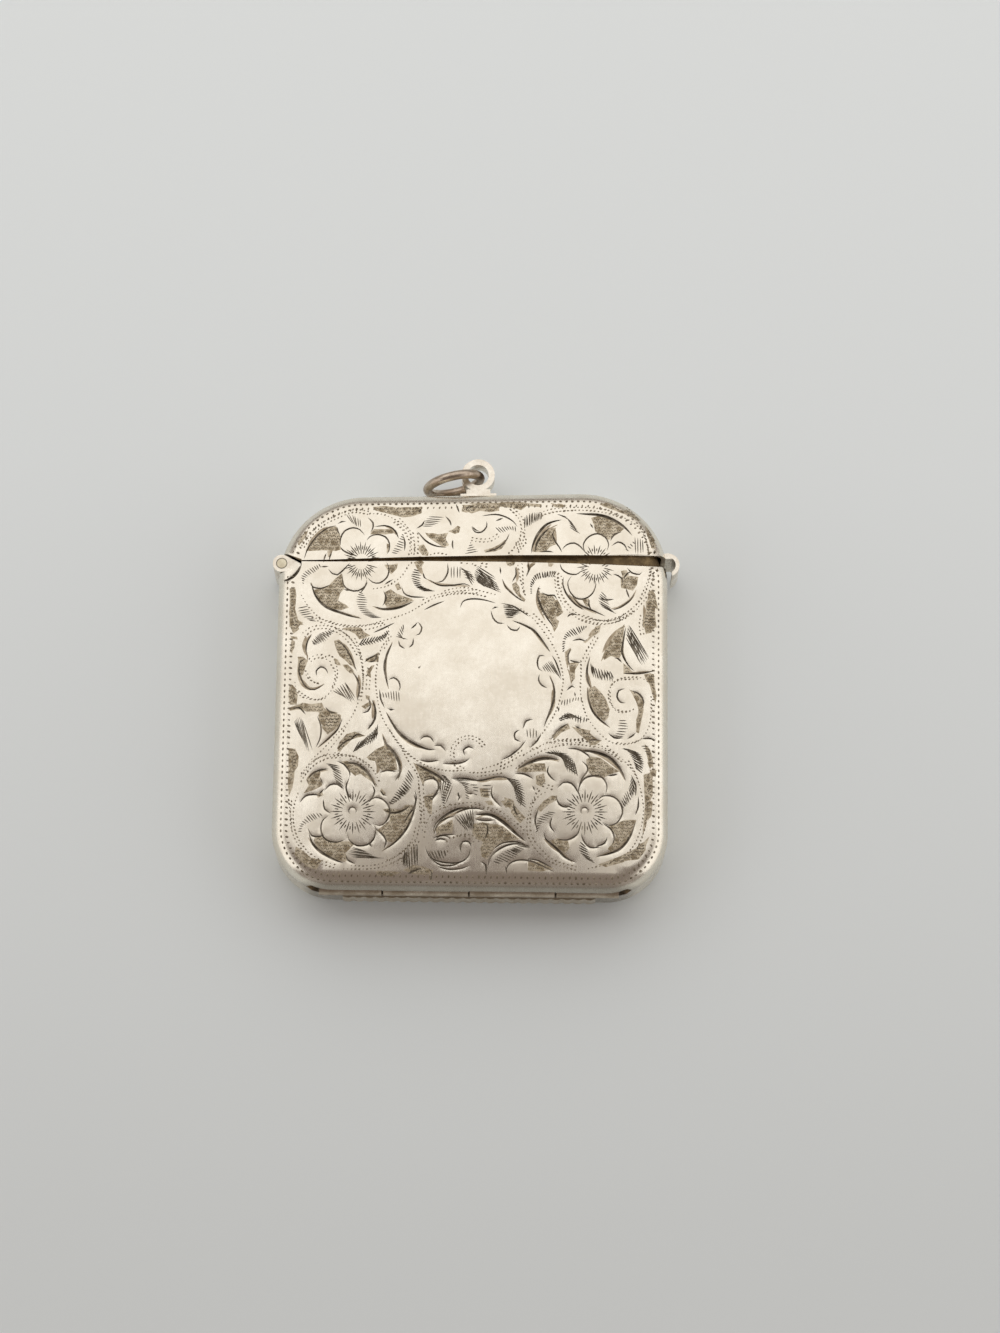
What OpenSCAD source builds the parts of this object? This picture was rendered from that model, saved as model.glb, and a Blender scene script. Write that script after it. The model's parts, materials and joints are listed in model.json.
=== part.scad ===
// Pocket match case in engraved silver: a crowned, round-cornered box with a side-hinged lid,
// a front cover hinged along the base, a striker under the base hinge and a loop with a jump ring.
// The case lies on its flat back. X runs across the face, Y from the base to the loop, Z out of the face.
// The origin is the middle of the back.

/* [Case] */
// Width of the case across the face
case_w = 45; // [42:0.5:50]
// Height of the case from the base to the top of the lid
case_h = 46.5; // [43:0.5:52]
// Thickness of the case at the middle of the face
case_t = 10; // [9.6:0.1:11]
// Radius of the two base corners seen from the front
corner_r = 7; // [6.5:0.1:8.6]
// Radius of the lid's two corners seen from the front
top_r = 10; // [8:0.5:11]
// Radius of the rounded edges
edge_r = 2; // [1.8:0.05:2.2]
// Height of the face's crown above its border
crown = 1.5; // [1.1:0.05:1.6]
// Thickness of the sheet
wall = 0.5; // [0.4:0.02:0.6]

/* [Seams] */
// Height of the lid
lid_h = 8.1; // [7.4:0.1:8.6]
// Height of the back shell, where the front cover begins
split_z = 6; // [5.8:0.05:6.3]
// Gap between two closed edges
seam_gap = 0.08; // [0.05:0.01:0.15]
// Angle by which the lid stands ajar
lid_ajar = 1.6; // [0:0.1:4]

/* [Mouth collar] */
// Thickness of the collar's sheet
collar_wall = 0.4; // [0.3:0.02:0.5]
// Sliding clearance round the collar and the rim strips
slide_clear = 0.1; // [0.08:0.01:0.15]
// Height of the collar above the lid's seam
collar_up = 2; // [1.5:0.1:2.5]
// Depth of the collar below the lid's seam
collar_down = 4; // [3:0.1:5]

/* [Partition] */
// Thickness of the partition plate
partition_t = 0.4; // [0.3:0.02:0.5]
// Depth of the partition's front face below the cover's seam
partition_drop = 0.25; // [0.2:0.05:0.4]
// Half length of the flange that closes the front compartment
flange_half = 17; // [12:0.5:17]
// Height of the flange above the cover's seam
flange_rise = 1.8; // [1.2:0.1:1.9]

/* [Cover rim strips] */
// Thickness of a rim strip
rim_wall = 0.4; // [0.3:0.02:0.5]
// Height of a rim strip above the cover's seam
rim_up = 0.6; // [0.4:0.05:0.7]
// Depth of a rim strip below the cover's seam
rim_down = 1.4; // [1:0.1:1.5]
// Length of a rim strip
rim_l = 24; // [16:1:26]

/* [Base hinge] */
// Outside diameter of the barrel
base_barrel_d = 1.9; // [1.6:0.05:2]
// Diameter of the pin
base_pin_d = 0.9; // [0.7:0.05:1]
// Depth of the axis inside the base
base_axis_in = 0.6; // [0.5:0.02:0.65]
// Length of the barrel
base_hinge_l = 34; // [30:0.5:35]
// Length of each of the two inner knuckles
base_inner_l = 9.8; // [8:0.1:11]
// Length by which the clear groove runs past each end of the barrel
base_groove_run = 1.4; // [1.1:0.1:1.8]

/* [Lid hinge] */
// Outside diameter of the barrel
lid_barrel_d = 2.06; // [1.8:0.02:2.2]
// Diameter of the pin
lid_pin_d = 1.24; // [1:0.02:1.3]
// Depth of the axis inside the case's side
lid_axis_in = 0.3; // [0.2:0.02:0.4]
// Height of the barrel's back end above the back
lid_barrel_z = 1.2; // [1:0.1:1.4]
// Length of the back knuckle
lid_back_l = 1.5; // [1.2:0.1:1.6]
// Length of the lid's knuckle
lid_mid_l = 2.6; // [2.2:0.1:2.6]
// Length of the front knuckle
lid_front_l = 2.2; // [2:0.1:2.4]
// Reach of the front knuckle's pointed web from the axis
web_reach = 2.2; // [1.8:0.1:2.4]

/* [Hinge fits] */
// Radial clearance of a pin in its knuckles
pin_clear = 0.03; // [0.02:0.005:0.05]
// Radial clearance round a barrel in its groove
groove_clear = 0.16; // [0.15:0.01:0.2]
// Gap between two knuckles
knuckle_gap = 0.08; // [0.05:0.01:0.12]

/* [Lid spring] */
// Length of the leaf spring
spring_l = 14; // [10:0.5:18]
// Width of the leaf spring
spring_w = 1.4; // [1:0.1:1.5]
// Thickness of the leaf spring
spring_t = 0.3; // [0.2:0.02:0.35]

/* [Thumb-piece] */
// Outside radius of the lip
thumb_r = 1.4; // [1.2:0.05:1.8]
// Thickness of the lip
thumb_wall = 0.45; // [0.4:0.05:0.6]
// Length of the lip along the thickness of the case
thumb_l = 5.2; // [4:0.1:5.4]

/* [Loop and ring] */
// Outside diameter of the loop
loop_d = 3.9; // [3.5:0.1:4.5]
// Diameter of the loop's hole
loop_hole_d = 2.5; // [2.3:0.05:2.7]
// Thickness of the loop along its hole
loop_t = 2; // [1.8:0.1:2.2]
// Offset of the loop from the middle of the lid
loop_x = 0.7; // [-2:0.1:2]
// Height of the loop's foot
foot_h = 1.3; // [1:0.1:1.6]
// Width of the loop's foot plate
foot_w = 4.2; // [3.6:0.1:5]
// Outside diameter of the jump ring
ring_d = 7.4; // [7:0.1:8.5]
// Wire diameter of the jump ring
wire_d = 1.08; // [0.9:0.02:1.2]
// Angle of the jump ring below the lid's top edge line
ring_droop = 12; // [5:1:20]

/* [Striker] */
// Length of the striker
striker_l = 29; // [20:0.5:29.5]
// Width of the striker across the base
striker_w = 2.2; // [1.5:0.1:2.4]
// Thickness of the striker's plate
striker_t = 0.15; // [0.12:0.01:0.3]
// Height of the striker's ribs
rib_h = 0.12; // [0.1:0.01:0.3]
// Spacing of the striker's ribs
rib_pitch = 1.25; // [0.8:0.05:1.5]

/* [Hidden] */

$fn = 48;
silver = "#d8d2c0";
polished = "#e4dfd0";
gilt = "#cdb878";
nickel = "#cfc8a4";
steel = "#8d8f92";

// Cutting tools run this far past what they cut
past = 5;

half_w = case_w / 2;
half_h = case_h / 2;
seam_y = half_h - lid_h;
collar_inset = wall + slide_clear;
// Height of the face's border, below the crown
face_z = case_t - crown;
mid_z = face_z / 2;
// Reach of the crown from the middle of the face, and the radius of its dome
dome_reach = half_w - edge_r - 0.5;
dome_r = (dome_reach * dome_reach + crown * crown) / (2 * crown);

base_axis_y = base_axis_in - half_h;
base_axis_z = split_z;
base_barrel_r = base_barrel_d / 2;
base_groove_r = base_barrel_r + groove_clear;
// Ends of the base hinge's knuckles, from left to right; the case and the cover take turns
base_ends = [-base_hinge_l / 2, -base_inner_l, 0, base_inner_l, base_hinge_l / 2];

lid_axis_x = lid_axis_in - half_w;
lid_axis_y = seam_y;
lid_barrel_r = lid_barrel_d / 2;
lid_groove_r = lid_barrel_r + groove_clear;
// Where the lid hinge's groove begins above the back
lid_groove_z = lid_barrel_z - 0.3;
// Ends of the lid hinge's knuckles, from back to front
lid_ends = [for (l = [0, lid_back_l, lid_back_l + lid_mid_l, lid_back_l + lid_mid_l + lid_front_l])
    lid_barrel_z + l];

loop_y = half_h + foot_h + 0.9 * loop_d / 2;
ring_r = (ring_d - wire_d) / 2;

// Half of the case's cross-section from a corner's centre outwards, set in by inset
module edge_profile(inset, corner) {
    r = edge_r - inset;
    flat_x = corner - edge_r;
    union() {
        translate([0, inset]) square([flat_x, face_z - 2 * inset]);
        translate([0, edge_r]) square([corner - inset, face_z - 2 * edge_r]);
        for (z = [edge_r, face_z - edge_r]) translate([flat_x, z]) circle(r);
    }
}

// The shallow dome that crowns the face, set in by inset
module crown_dome(inset) {
    rotate_extrude($fn = 96) intersection() {
        translate([0, case_t - dome_r]) circle(r = dome_r - inset, $fn = 1440);
        translate([0, face_z - inset - crown / 2]) square([dome_reach + 0.3, 2 * crown]);
    }
}

// One straight side of the form, from a corner's centre along its length
module form_side(inset, corner, x, y, turn, length) {
    translate([x, y, 0]) rotate([0, 0, turn]) rotate([90, 0, 0])
        linear_extrude(length) edge_profile(inset, corner);
}

// The closed form of the case, set in by inset: four corners, four sides, a core and the crown
module case_form(inset = 0) {
    base_x = half_w - corner_r;
    base_y = half_h - corner_r;
    top_x = half_w - top_r;
    top_y = half_h - top_r;
    union() {
        translate([-base_x, -base_y, inset]) cube([2 * base_x, base_y + top_y, face_z - 2 * inset]);
        form_side(inset, corner_r, base_x, top_y, 0, base_y + top_y);
        form_side(inset, top_r, -top_x, top_y, 90, 2 * top_x);
        form_side(inset, corner_r, -base_x, -base_y, 180, base_y + top_y);
        form_side(inset, corner_r, base_x, -base_y, 270, 2 * base_x);
        for (k = [0, 1]) translate([(1 - 2 * k) * top_x, top_y, 0]) rotate([0, 0, 90 * k])
            rotate_extrude(angle = 90) edge_profile(inset, top_r);
        for (k = [0, 1]) translate([(2 * k - 1) * base_x, -base_y, 0]) rotate([0, 0, 180 + 90 * k])
            rotate_extrude(angle = 90) edge_profile(inset, corner_r);
        crown_dome(inset);
    }
}

// The sheet between two insets of the form
module sheet(outer, inner) {
    difference() {
        case_form(outer);
        case_form(inner);
    }
}

// A block over the whole case between two heights in Y and two in Z
module slab(y0, y1, z0, z1) {
    translate([-half_w - past, y0, z0]) cube([case_w + 2 * past, y1 - y0, z1 - z0]);
}

// A rod along X on the base hinge's axis
module base_rod(r, x0, x1) {
    translate([x0, base_axis_y, base_axis_z]) rotate([0, 90, 0]) cylinder(r = r, h = x1 - x0);
}

// A rod along Z on the lid hinge's axis
module lid_rod(r, z0, z1) {
    translate([lid_axis_x, lid_axis_y, z0]) cylinder(r = r, h = z1 - z0);
}

// Groove for the base hinge: snug where the piece carries its own knuckles, clear elsewhere
module base_groove(own) {
    for (k = [0 : 3]) {
        r = (k % 2 == own) ? base_barrel_r : base_groove_r;
        base_rod(r, base_ends[k], base_ends[k + 1]);
    }
    for (x = [base_ends[0] - base_groove_run, base_ends[4]])
        base_rod(base_groove_r, x, x + base_groove_run);
}

// Outline of the front knuckle's pointed web, widened by grow
module web_outline(grow) {
    r = lid_barrel_r;
    polygon([
        [0, 0.97 * r + grow], [0.45 * r, 0.9 * r + grow], [web_reach + grow, grow],
        [web_reach + grow, -0.4 * r - grow], [0.5 * r, -0.9 * r - grow], [0, -0.97 * r - grow]
    ]);
}

module web(grow, z0, z1) {
    translate([lid_axis_x, lid_axis_y, z0]) linear_extrude(z1 - z0) web_outline(grow);
}

// Groove for the lid hinge in the case's side: snug at the case's own knuckles, below the cover's seam
module lid_groove_case() {
    lid_rod(lid_groove_r, lid_groove_z, lid_ends[0]);
    lid_rod(lid_barrel_r, lid_ends[0], lid_ends[1]);
    lid_rod(lid_groove_r, lid_ends[1], lid_ends[2]);
    lid_rod(lid_barrel_r, lid_ends[2], split_z);
}

// Groove for the lid hinge in the lid's side: snug at the lid's own knuckle
module lid_groove_lid() {
    lid_rod(lid_groove_r, lid_groove_z, lid_ends[1]);
    lid_rod(lid_barrel_r, lid_ends[1], lid_ends[2]);
    lid_rod(lid_groove_r, lid_ends[2], case_t + past);
    web(groove_clear, lid_ends[2], case_t + past);
}

// Turns the lid and what it carries from closed to ajar
module lid_pose() {
    translate([lid_axis_x, lid_axis_y, 0]) rotate([0, 0, lid_ajar])
        translate([-lid_axis_x, -lid_axis_y, 0]) children();
}

module back_shell() {
    color(silver) difference() {
        intersection() {
            sheet(0, wall);
            slab(-half_h - past, seam_y - seam_gap / 2, -past, split_z - seam_gap / 2);
        }
        base_groove(0);
        lid_groove_case();
    }
}

module front_cover() {
    color(silver) difference() {
        intersection() {
            sheet(0, wall);
            slab(-half_h - past, seam_y - seam_gap / 2, split_z + seam_gap / 2, case_t + past);
        }
        base_groove(1);
        lid_rod(lid_groove_r, split_z - past, case_t + past);
        web(groove_clear, split_z - past, case_t + past);
    }
}

module lid_shell() {
    color(silver) lid_pose() difference() {
        intersection() {
            sheet(0, wall);
            slab(seam_y + seam_gap / 2, half_h + past, -past, case_t + past);
        }
        lid_groove_lid();
    }
}

module mouth_collar() {
    slot_w = spring_w + 2 * slide_clear;
    notch_x = -half_w - past;
    color(gilt) difference() {
        intersection() {
            sheet(collar_inset, collar_inset + collar_wall);
            slab(seam_y - collar_down, seam_y + collar_up, -past, case_t + past);
        }
        // Room for the lid hinge and its web
        translate([notch_x, lid_axis_y - lid_groove_r, wall])
            cube([lid_axis_x + web_reach + groove_clear - notch_x, collar_up + past, case_t]);
        // Room for the lid spring
        translate([notch_x, seam_y - collar_down - past, spring_z() - slot_w / 2])
            cube([lid_axis_x + web_reach - notch_x, collar_down + past, slot_w]);
    }
}

module partition_plate() {
    front = split_z - partition_drop;
    x = half_w - wall - rim_wall;
    r = corner_r - wall - rim_wall;
    y0 = base_axis_y + base_groove_r + slide_clear;
    y1 = seam_y - collar_down;
    color(gilt) union() {
        translate([0, 0, front - partition_t]) linear_extrude(partition_t) union() {
            translate([-x, y0 + r]) square([2 * x, y1 - y0 - r]);
            translate([r - x, y0]) square([2 * (x - r), r]);
            for (s = [-1, 1]) translate([s * (x - r), y0 + r]) circle(r);
        }
        translate([-flange_half, y1 - partition_t, front - partition_t])
            cube([2 * flange_half, partition_t, split_z + flange_rise - front + partition_t]);
    }
}

module cover_rim_strips() {
    y0 = seam_y - collar_down - slide_clear - rim_l;
    color(gilt) for (s = [0, 1]) mirror([s, 0, 0])
        translate([half_w - wall, y0 + rim_l, split_z]) rotate([90, 0, 0]) linear_extrude(rim_l)
            polygon([
                [0, -rim_down], [-rim_wall, -rim_down], [-rim_wall, rim_up], [-slide_clear, rim_up],
                [-slide_clear, -slide_clear], [0, -slide_clear]
            ]);
}

module striker_strip() {
    ribs = floor(striker_l / rib_pitch);
    x0 = -ribs * rib_pitch / 2;
    z0 = edge_r + slide_clear;
    color(steel) translate([0, -half_h, z0]) linear_extrude(striker_w) polygon(concat(
        [[x0, 0]],
        [for (i = [0 : ribs - 1]) each [
            [x0 + i * rib_pitch, -striker_t],
            [x0 + (i + 0.3) * rib_pitch, -striker_t - rib_h],
            [x0 + (i + 0.6) * rib_pitch, -striker_t - rib_h],
            [x0 + (i + 0.9) * rib_pitch, -striker_t]
        ]],
        [[-x0, -striker_t], [-x0, 0]]
    ));
}

// The base hinge's knuckles of one owner: 0 for the case, 1 for the cover
module base_knuckles(own) {
    for (k = [own, own + 2]) difference() {
        base_rod(base_barrel_r, base_ends[k] + knuckle_gap / 2, base_ends[k + 1] - knuckle_gap / 2);
        base_rod(base_pin_d / 2 + pin_clear, base_ends[k] - past, base_ends[k + 1] + past);
    }
}

module base_hinge_case_knuckles() {
    color(silver) base_knuckles(0);
}

module base_hinge_cover_knuckles() {
    color(silver) base_knuckles(1);
}

module base_hinge_pin() {
    color(nickel) base_rod(base_pin_d / 2, base_ends[0], base_ends[4]);
}

module lid_hinge_case_knuckles() {
    bore = lid_pin_d / 2 + pin_clear;
    color(polished) {
        difference() {
            lid_rod(lid_barrel_r, lid_ends[0], lid_ends[1] - knuckle_gap / 2);
            lid_rod(bore, lid_ends[0] - past, lid_ends[1] + past);
        }
        difference() {
            union() {
                lid_rod(lid_barrel_r, lid_ends[2] + knuckle_gap / 2, lid_ends[3]);
                web(0, lid_ends[2] + knuckle_gap / 2, lid_ends[3]);
            }
            lid_rod(bore, lid_ends[2] - past, lid_ends[3] + past);
        }
    }
}

module lid_hinge_knuckle() {
    color(polished) lid_pose() difference() {
        lid_rod(lid_barrel_r, lid_ends[1] + knuckle_gap / 2, lid_ends[2] - knuckle_gap / 2);
        lid_rod(lid_pin_d / 2 + pin_clear, lid_ends[1] - past, lid_ends[2] + past);
    }
}

module lid_hinge_pin() {
    color(nickel) lid_rod(lid_pin_d / 2, lid_ends[0], lid_ends[3]);
}

// Middle of the leaf spring along Z: under the back half of the lid's knuckle
function spring_z() = lid_ends[1] + slide_clear + spring_w / 2 + knuckle_gap;

module lid_spring() {
    tip_y = lid_axis_y - lid_barrel_r - slide_clear;
    x = wall - half_w;
    bow = 0.8 * spring_t;
    tip_in = 0.7 * spring_t;
    color(steel) translate([0, 0, spring_z() - spring_w / 2]) linear_extrude(spring_w) polygon([
        [x, tip_y - spring_l], [x + spring_t, tip_y - spring_l],
        [x + spring_t, tip_y - 0.6 * spring_l], [x + spring_t + bow, tip_y - 0.3 * spring_l],
        [x + tip_in + spring_t, tip_y], [x + tip_in, tip_y],
        [x + bow, tip_y - 0.3 * spring_l], [x, tip_y - 0.6 * spring_l]
    ]);
}

module thumb_piece() {
    x = half_w;
    y = seam_y - 0.7;
    color(polished) lid_pose() difference() {
        translate([x, y, mid_z - thumb_l / 2]) linear_extrude(thumb_l) union() {
            // Solid root above the lid's edge
            intersection() {
                circle(thumb_r);
                translate([-thumb_r, seam_y - y + seam_gap / 2]) square(2 * thumb_r);
            }
            // Hollow lip that hangs below it
            difference() {
                circle(thumb_r);
                circle(thumb_r - thumb_wall);
                translate([-2 * thumb_r, -2 * thumb_r]) square([2 * thumb_r + 0.35 * thumb_r, 4 * thumb_r]);
            }
        }
        case_form(0);
    }
}

module loop_foot() {
    depth = loop_t + 0.8;
    color(polished) lid_pose() union() {
        translate([loop_x - foot_w / 2, half_h, loop_z() - depth / 2]) cube([foot_w, foot_h / 2, depth]);
        translate([loop_x - foot_w / 3, half_h, loop_z() - loop_t / 2])
            cube([2 * foot_w / 3, foot_h, loop_t]);
    }
}

// Middle of the loop along Z: the middle of the lid's flat top
function loop_z() = mid_z;

module suspension_loop() {
    color(polished) lid_pose() difference() {
        translate([loop_x, loop_y, loop_z() - loop_t / 2]) cylinder(d = loop_d, h = loop_t);
        translate([loop_x, loop_y, loop_z() - past]) cylinder(d = loop_hole_d, h = 2 * past);
        // Flat that stands on the foot
        translate([loop_x - loop_d, half_h + foot_h - loop_d, loop_z() - past])
            cube([2 * loop_d, loop_d, 2 * past]);
    }
}

module jump_ring() {
    // The ring's wire runs through the middle of the loop's hole, and the ring droops towards the floor
    reach = ring_r - (loop_hole_d - wire_d) / 6;
    color(silver) lid_pose() translate([loop_x, loop_y, ring_d / 2 + slide_clear])
        rotate([0, 0, 180 + ring_droop]) translate([reach, 0, 0])
            rotate([90, 0, 0]) rotate_extrude() translate([ring_r, 0]) circle(d = wire_d);
}

back_shell();
mouth_collar();
partition_plate();
cover_rim_strips();
striker_strip();
base_hinge_case_knuckles();
base_hinge_pin();
lid_hinge_case_knuckles();
lid_hinge_pin();
lid_spring();
lid_shell();
lid_hinge_knuckle();
thumb_piece();
loop_foot();
suspension_loop();
front_cover();
base_hinge_cover_knuckles();
jump_ring();
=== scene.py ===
# %% [markdown]
# # An engraved silver match case
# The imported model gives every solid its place. This lesson dresses it: the engraver's work is cut into
# the three shells as real grooves, the punched rows come from Geometry Nodes, and each metal gets its own
# procedural finish. All sizes here are in millimetres, and a mesh is scaled to metres last.

# %% Load the frame
import json
import math

import bmesh
import bpy
import numpy as np
from mathutils import Matrix, Vector
from mathutils.geometry import delaunay_2d_cdt
from mathutils.kdtree import KDTree


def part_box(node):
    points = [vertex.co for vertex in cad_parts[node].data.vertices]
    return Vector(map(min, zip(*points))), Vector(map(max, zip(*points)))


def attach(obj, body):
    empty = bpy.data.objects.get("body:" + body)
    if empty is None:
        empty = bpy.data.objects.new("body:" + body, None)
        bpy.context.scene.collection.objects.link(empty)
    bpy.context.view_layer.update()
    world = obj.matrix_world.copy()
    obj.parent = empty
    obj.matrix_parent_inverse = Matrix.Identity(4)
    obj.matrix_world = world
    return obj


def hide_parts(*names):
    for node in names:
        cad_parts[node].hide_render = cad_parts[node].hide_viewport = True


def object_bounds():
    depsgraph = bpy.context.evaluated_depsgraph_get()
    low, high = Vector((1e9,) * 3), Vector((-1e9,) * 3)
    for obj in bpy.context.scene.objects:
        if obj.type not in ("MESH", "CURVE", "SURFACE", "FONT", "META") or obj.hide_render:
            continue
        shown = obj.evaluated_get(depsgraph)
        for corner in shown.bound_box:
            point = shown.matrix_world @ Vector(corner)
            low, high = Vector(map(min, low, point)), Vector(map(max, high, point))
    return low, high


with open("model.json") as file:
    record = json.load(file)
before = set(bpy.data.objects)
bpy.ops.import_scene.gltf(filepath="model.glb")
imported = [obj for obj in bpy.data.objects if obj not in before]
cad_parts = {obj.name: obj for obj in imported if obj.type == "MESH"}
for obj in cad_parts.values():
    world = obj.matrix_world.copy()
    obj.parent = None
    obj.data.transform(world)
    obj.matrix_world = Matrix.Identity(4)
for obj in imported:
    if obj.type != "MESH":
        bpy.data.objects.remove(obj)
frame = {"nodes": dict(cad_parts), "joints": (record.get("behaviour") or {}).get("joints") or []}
cad_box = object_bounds()
MM = 0.001


def box_mm(node):
    """Lowest and highest corner of a CAD node, in millimetres."""
    low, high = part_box(node)
    return low / MM, high / MM


def add_object(name, data):
    """A new object in the scene that shows the given mesh, light or camera."""
    made = bpy.data.objects.new(name, data)
    bpy.context.scene.collection.objects.link(made)
    return made


joints = {joint["name"]: joint for joint in frame["joints"]}
half_w = box_mm("back_shell")[1].x
half_h = -box_mm("back_shell")[0].y
case_t = box_mm("front_cover")[1].z
lid_axis = Vector(joints["lid_hinge"]["pos_m"]) / MM
base_axis = Vector(joints["cover_hinge"]["pos_m"]) / MM
lid_ajar = -joints["lid_hinge"]["range_deg"][0]
seam_y = lid_axis.y
split_z = base_axis.z
print("case", [round(size, 2) for size in (2 * half_w, 2 * half_h, case_t)], "seam at", round(seam_y, 2))

# %% [markdown]
# ## The camera
# The photo looks down on the case from the base side, a little off the vertical. The lens and the angles were
# found by fitting the case's corners, hinge pin and loop to their places in the photo, with the image taken
# as 1000 by 1333 pixels. The same numbers later carry the engraving from the photo's pixels to the face.

# %% Camera
PHOTO_W = 1000
PHOTO_H = 1333
CAMERA_DISTANCE = 400
CAMERA_TILT = 15.47
CAMERA_TURN = 0.1
CAMERA_ROLL = 0.68
FOCAL_PX = 3458
AIM = Vector((3.21, 3.83, 4.7))
SENSOR = 36

tilt, turn, roll = (math.radians(a) for a in (CAMERA_TILT, CAMERA_TURN, CAMERA_ROLL))
cam_back = Vector((math.sin(turn) * math.sin(tilt), -math.cos(turn) * math.sin(tilt), math.cos(tilt)))
level_right = (-cam_back).cross(Vector((0, 1, 0))).normalized()
level_up = level_right.cross(-cam_back)
cam_right = level_right * math.cos(roll) + level_up * math.sin(roll)
cam_up = level_up * math.cos(roll) - level_right * math.sin(roll)
cam_at = AIM + cam_back * CAMERA_DISTANCE

camera_data = bpy.data.cameras.new("camera")
camera_data.sensor_width = SENSOR
camera_data.lens = SENSOR * FOCAL_PX / PHOTO_H
camera_data.clip_start = 0.01
camera = add_object("camera", camera_data)
turned = Matrix((cam_right, cam_up, cam_back)).transposed().to_4x4()
camera.matrix_world = Matrix.Translation(cam_at * MM) @ turned
bpy.context.scene.camera = camera
print("camera", [round(c, 1) for c in cam_at], "lens", round(camera_data.lens, 2))

# %% [markdown]
# ## The form of the case
# A real case of this kind is pressed from sheet: a round-cornered box whose front swells a little towards the
# middle. Two short formulas hold that form: how far a point lies inside the outline, and how high the face is
# there. Everything that lies on the face asks them for its height.

# %% Form
CORNER_R = 7.0
TOP_R = 10.0
EDGE_R = 2.0
CROWN = 1.5
SWELL_FROM = 1.0
SWELL_CORNER = 0.4
SWELL_BLEND = 0.004
WALL = 0.5
GAP = 0.08
face_z = case_t - CROWN
wall_top = face_z - EDGE_R


def inset(x, y):
    """Distance of a point inside the outline of the case."""
    r = np.where(y > 0, TOP_R, CORNER_R)
    qx = np.abs(x) - (half_w - r)
    qy = np.abs(y) - (half_h - r)
    corner = np.hypot(np.maximum(qx, 0), np.maximum(qy, 0))
    return r - corner - np.minimum(np.maximum(qx, qy), 0)


def edge_drop(d):
    """Depth of the rounded edge below the face at a distance d inside the outline."""
    return EDGE_R - np.sqrt(EDGE_R ** 2 - (EDGE_R - np.clip(d, 0, EDGE_R)) ** 2)


def front_z(x, y):
    """Height of the front, which swells towards its middle."""
    u = x / (half_w - EDGE_R)
    v = y / (half_h - EDGE_R)
    s = 1 - u * u - v * v + SWELL_CORNER * u * u * v * v
    d = inset(x, y)
    rise = np.clip((d - SWELL_FROM) / (EDGE_R - SWELL_FROM), 0, 1)
    swell = (s + np.sqrt(s * s + SWELL_BLEND)) / 2 * rise
    return face_z + CROWN * swell - edge_drop(d)


def shine_z(x, y):
    """A slightly fuller front, without the crease where the swell runs out. Only the shine follows it."""
    u = x / (half_w - EDGE_R / 2)
    v = y / (half_h - EDGE_R / 2)
    return face_z + CROWN * (1 - u * u) * (1 - v * v) - edge_drop(inset(x, y))


def back_z(x, y):
    """Height of the flat back with its rounded edge."""
    return edge_drop(inset(x, y))


def lid_turn(points, degrees):
    """Turns points about the lid's hinge pin."""
    a = math.radians(degrees)
    p = np.array(points, float)
    x, y = p[..., 0] - lid_axis.x, p[..., 1] - lid_axis.y
    p[..., 0] = lid_axis.x + x * math.cos(a) - y * math.sin(a)
    p[..., 1] = lid_axis.y + x * math.sin(a) + y * math.cos(a)
    return p


def on_face(px, py):
    """The place on the closed face that the photo shows at a pixel."""
    ray = cam_right * (px - PHOTO_W / 2) - cam_up * (py - PHOTO_H / 2) - cam_back * FOCAL_PX
    z = face_z
    for _ in range(6):
        hit = cam_at + ray * ((z - cam_at.z) / ray.z)
        z = float(front_z(np.float64(hit.x), np.float64(hit.y)))
    opening = (hit.x - lid_axis.x) * math.tan(math.radians(lid_ajar))
    if hit.y > seam_y + opening / 2:
        return lid_turn((hit.x, hit.y), -lid_ajar)
    return np.array((hit.x, hit.y))


print("middle of the cartouche lies at", [round(float(c), 2) for c in on_face(472, 690)])

# %% [markdown]
# ## The engraver's tools
# Bright-cut engraving is made with a few strokes: a line that swells and thins, a row of short parallel
# cuts that shades a leaf, an arc for a petal's edge, rays for a flower's eye, and a row of punched dots
# beside a stem. Each tool below reads its points from a tracing, an enlarged part of the photo, and keeps
# plain curves with a width. An image texture would be quicker, but it would have no depth.

# %% Engraver's tools
CUT_SLOPE = 0.5
RAY = 0.14
FINE = 0.115
HEAVY = 0.145
LINE = 0.2
BOLD = 0.31
SHADE_BAND_WIDTH = 0.3
HATCH_STEP = 0.29
CURVE_STEP = 0.4
GUIDE_STEP = 0.1
ROW_LINE_STEP = 0.25
HATCH_SWELL = np.array((0.3, 1, 1, 0.9, 0.2))
RAY_SWELL = np.array((0.5, 1, 0.9, 0.1))
strokes = []
patches = []
shades = []
dot_rows = []


def smooth(points, step):
    """A round curve through the points, sampled about every step."""
    p = np.asarray(points, float)
    ends = np.vstack([2 * p[0] - p[1], p, 2 * p[-1] - p[-2]])
    out = []
    for a, b, c, d in zip(ends, ends[1:], ends[2:], ends[3:]):
        count = max(1, round(float(np.hypot(*(c - b))) / step))
        for t in np.arange(count) / count:
            out.append(b + 0.5 * t * (c - a + t * (2 * a - 5 * b + 4 * c - d + t * (3 * b - a - 3 * c + d))))
    out.append(p[-1])
    return np.array(out)


def stroke_edges(path, half):
    """Left edge, middle and right edge of a stroke, as three lines."""
    along = np.gradient(path, axis=0)
    across = np.column_stack([-along[:, 1], along[:, 0]])
    across /= np.maximum(np.linalg.norm(across, axis=1), 1e-9)[:, None]
    return [path + across * half[:, None], path, path - across * half[:, None]]


def around(x, y, r, start, end, count):
    """Part of a circle as text, with angles in degrees clockwise from the right as the photo shows it."""
    angles = np.radians(np.linspace(start, end, count))
    return " ".join(f"{x + r * math.cos(a):.1f},{y + r * math.sin(a):.1f}" for a in angles)


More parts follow.
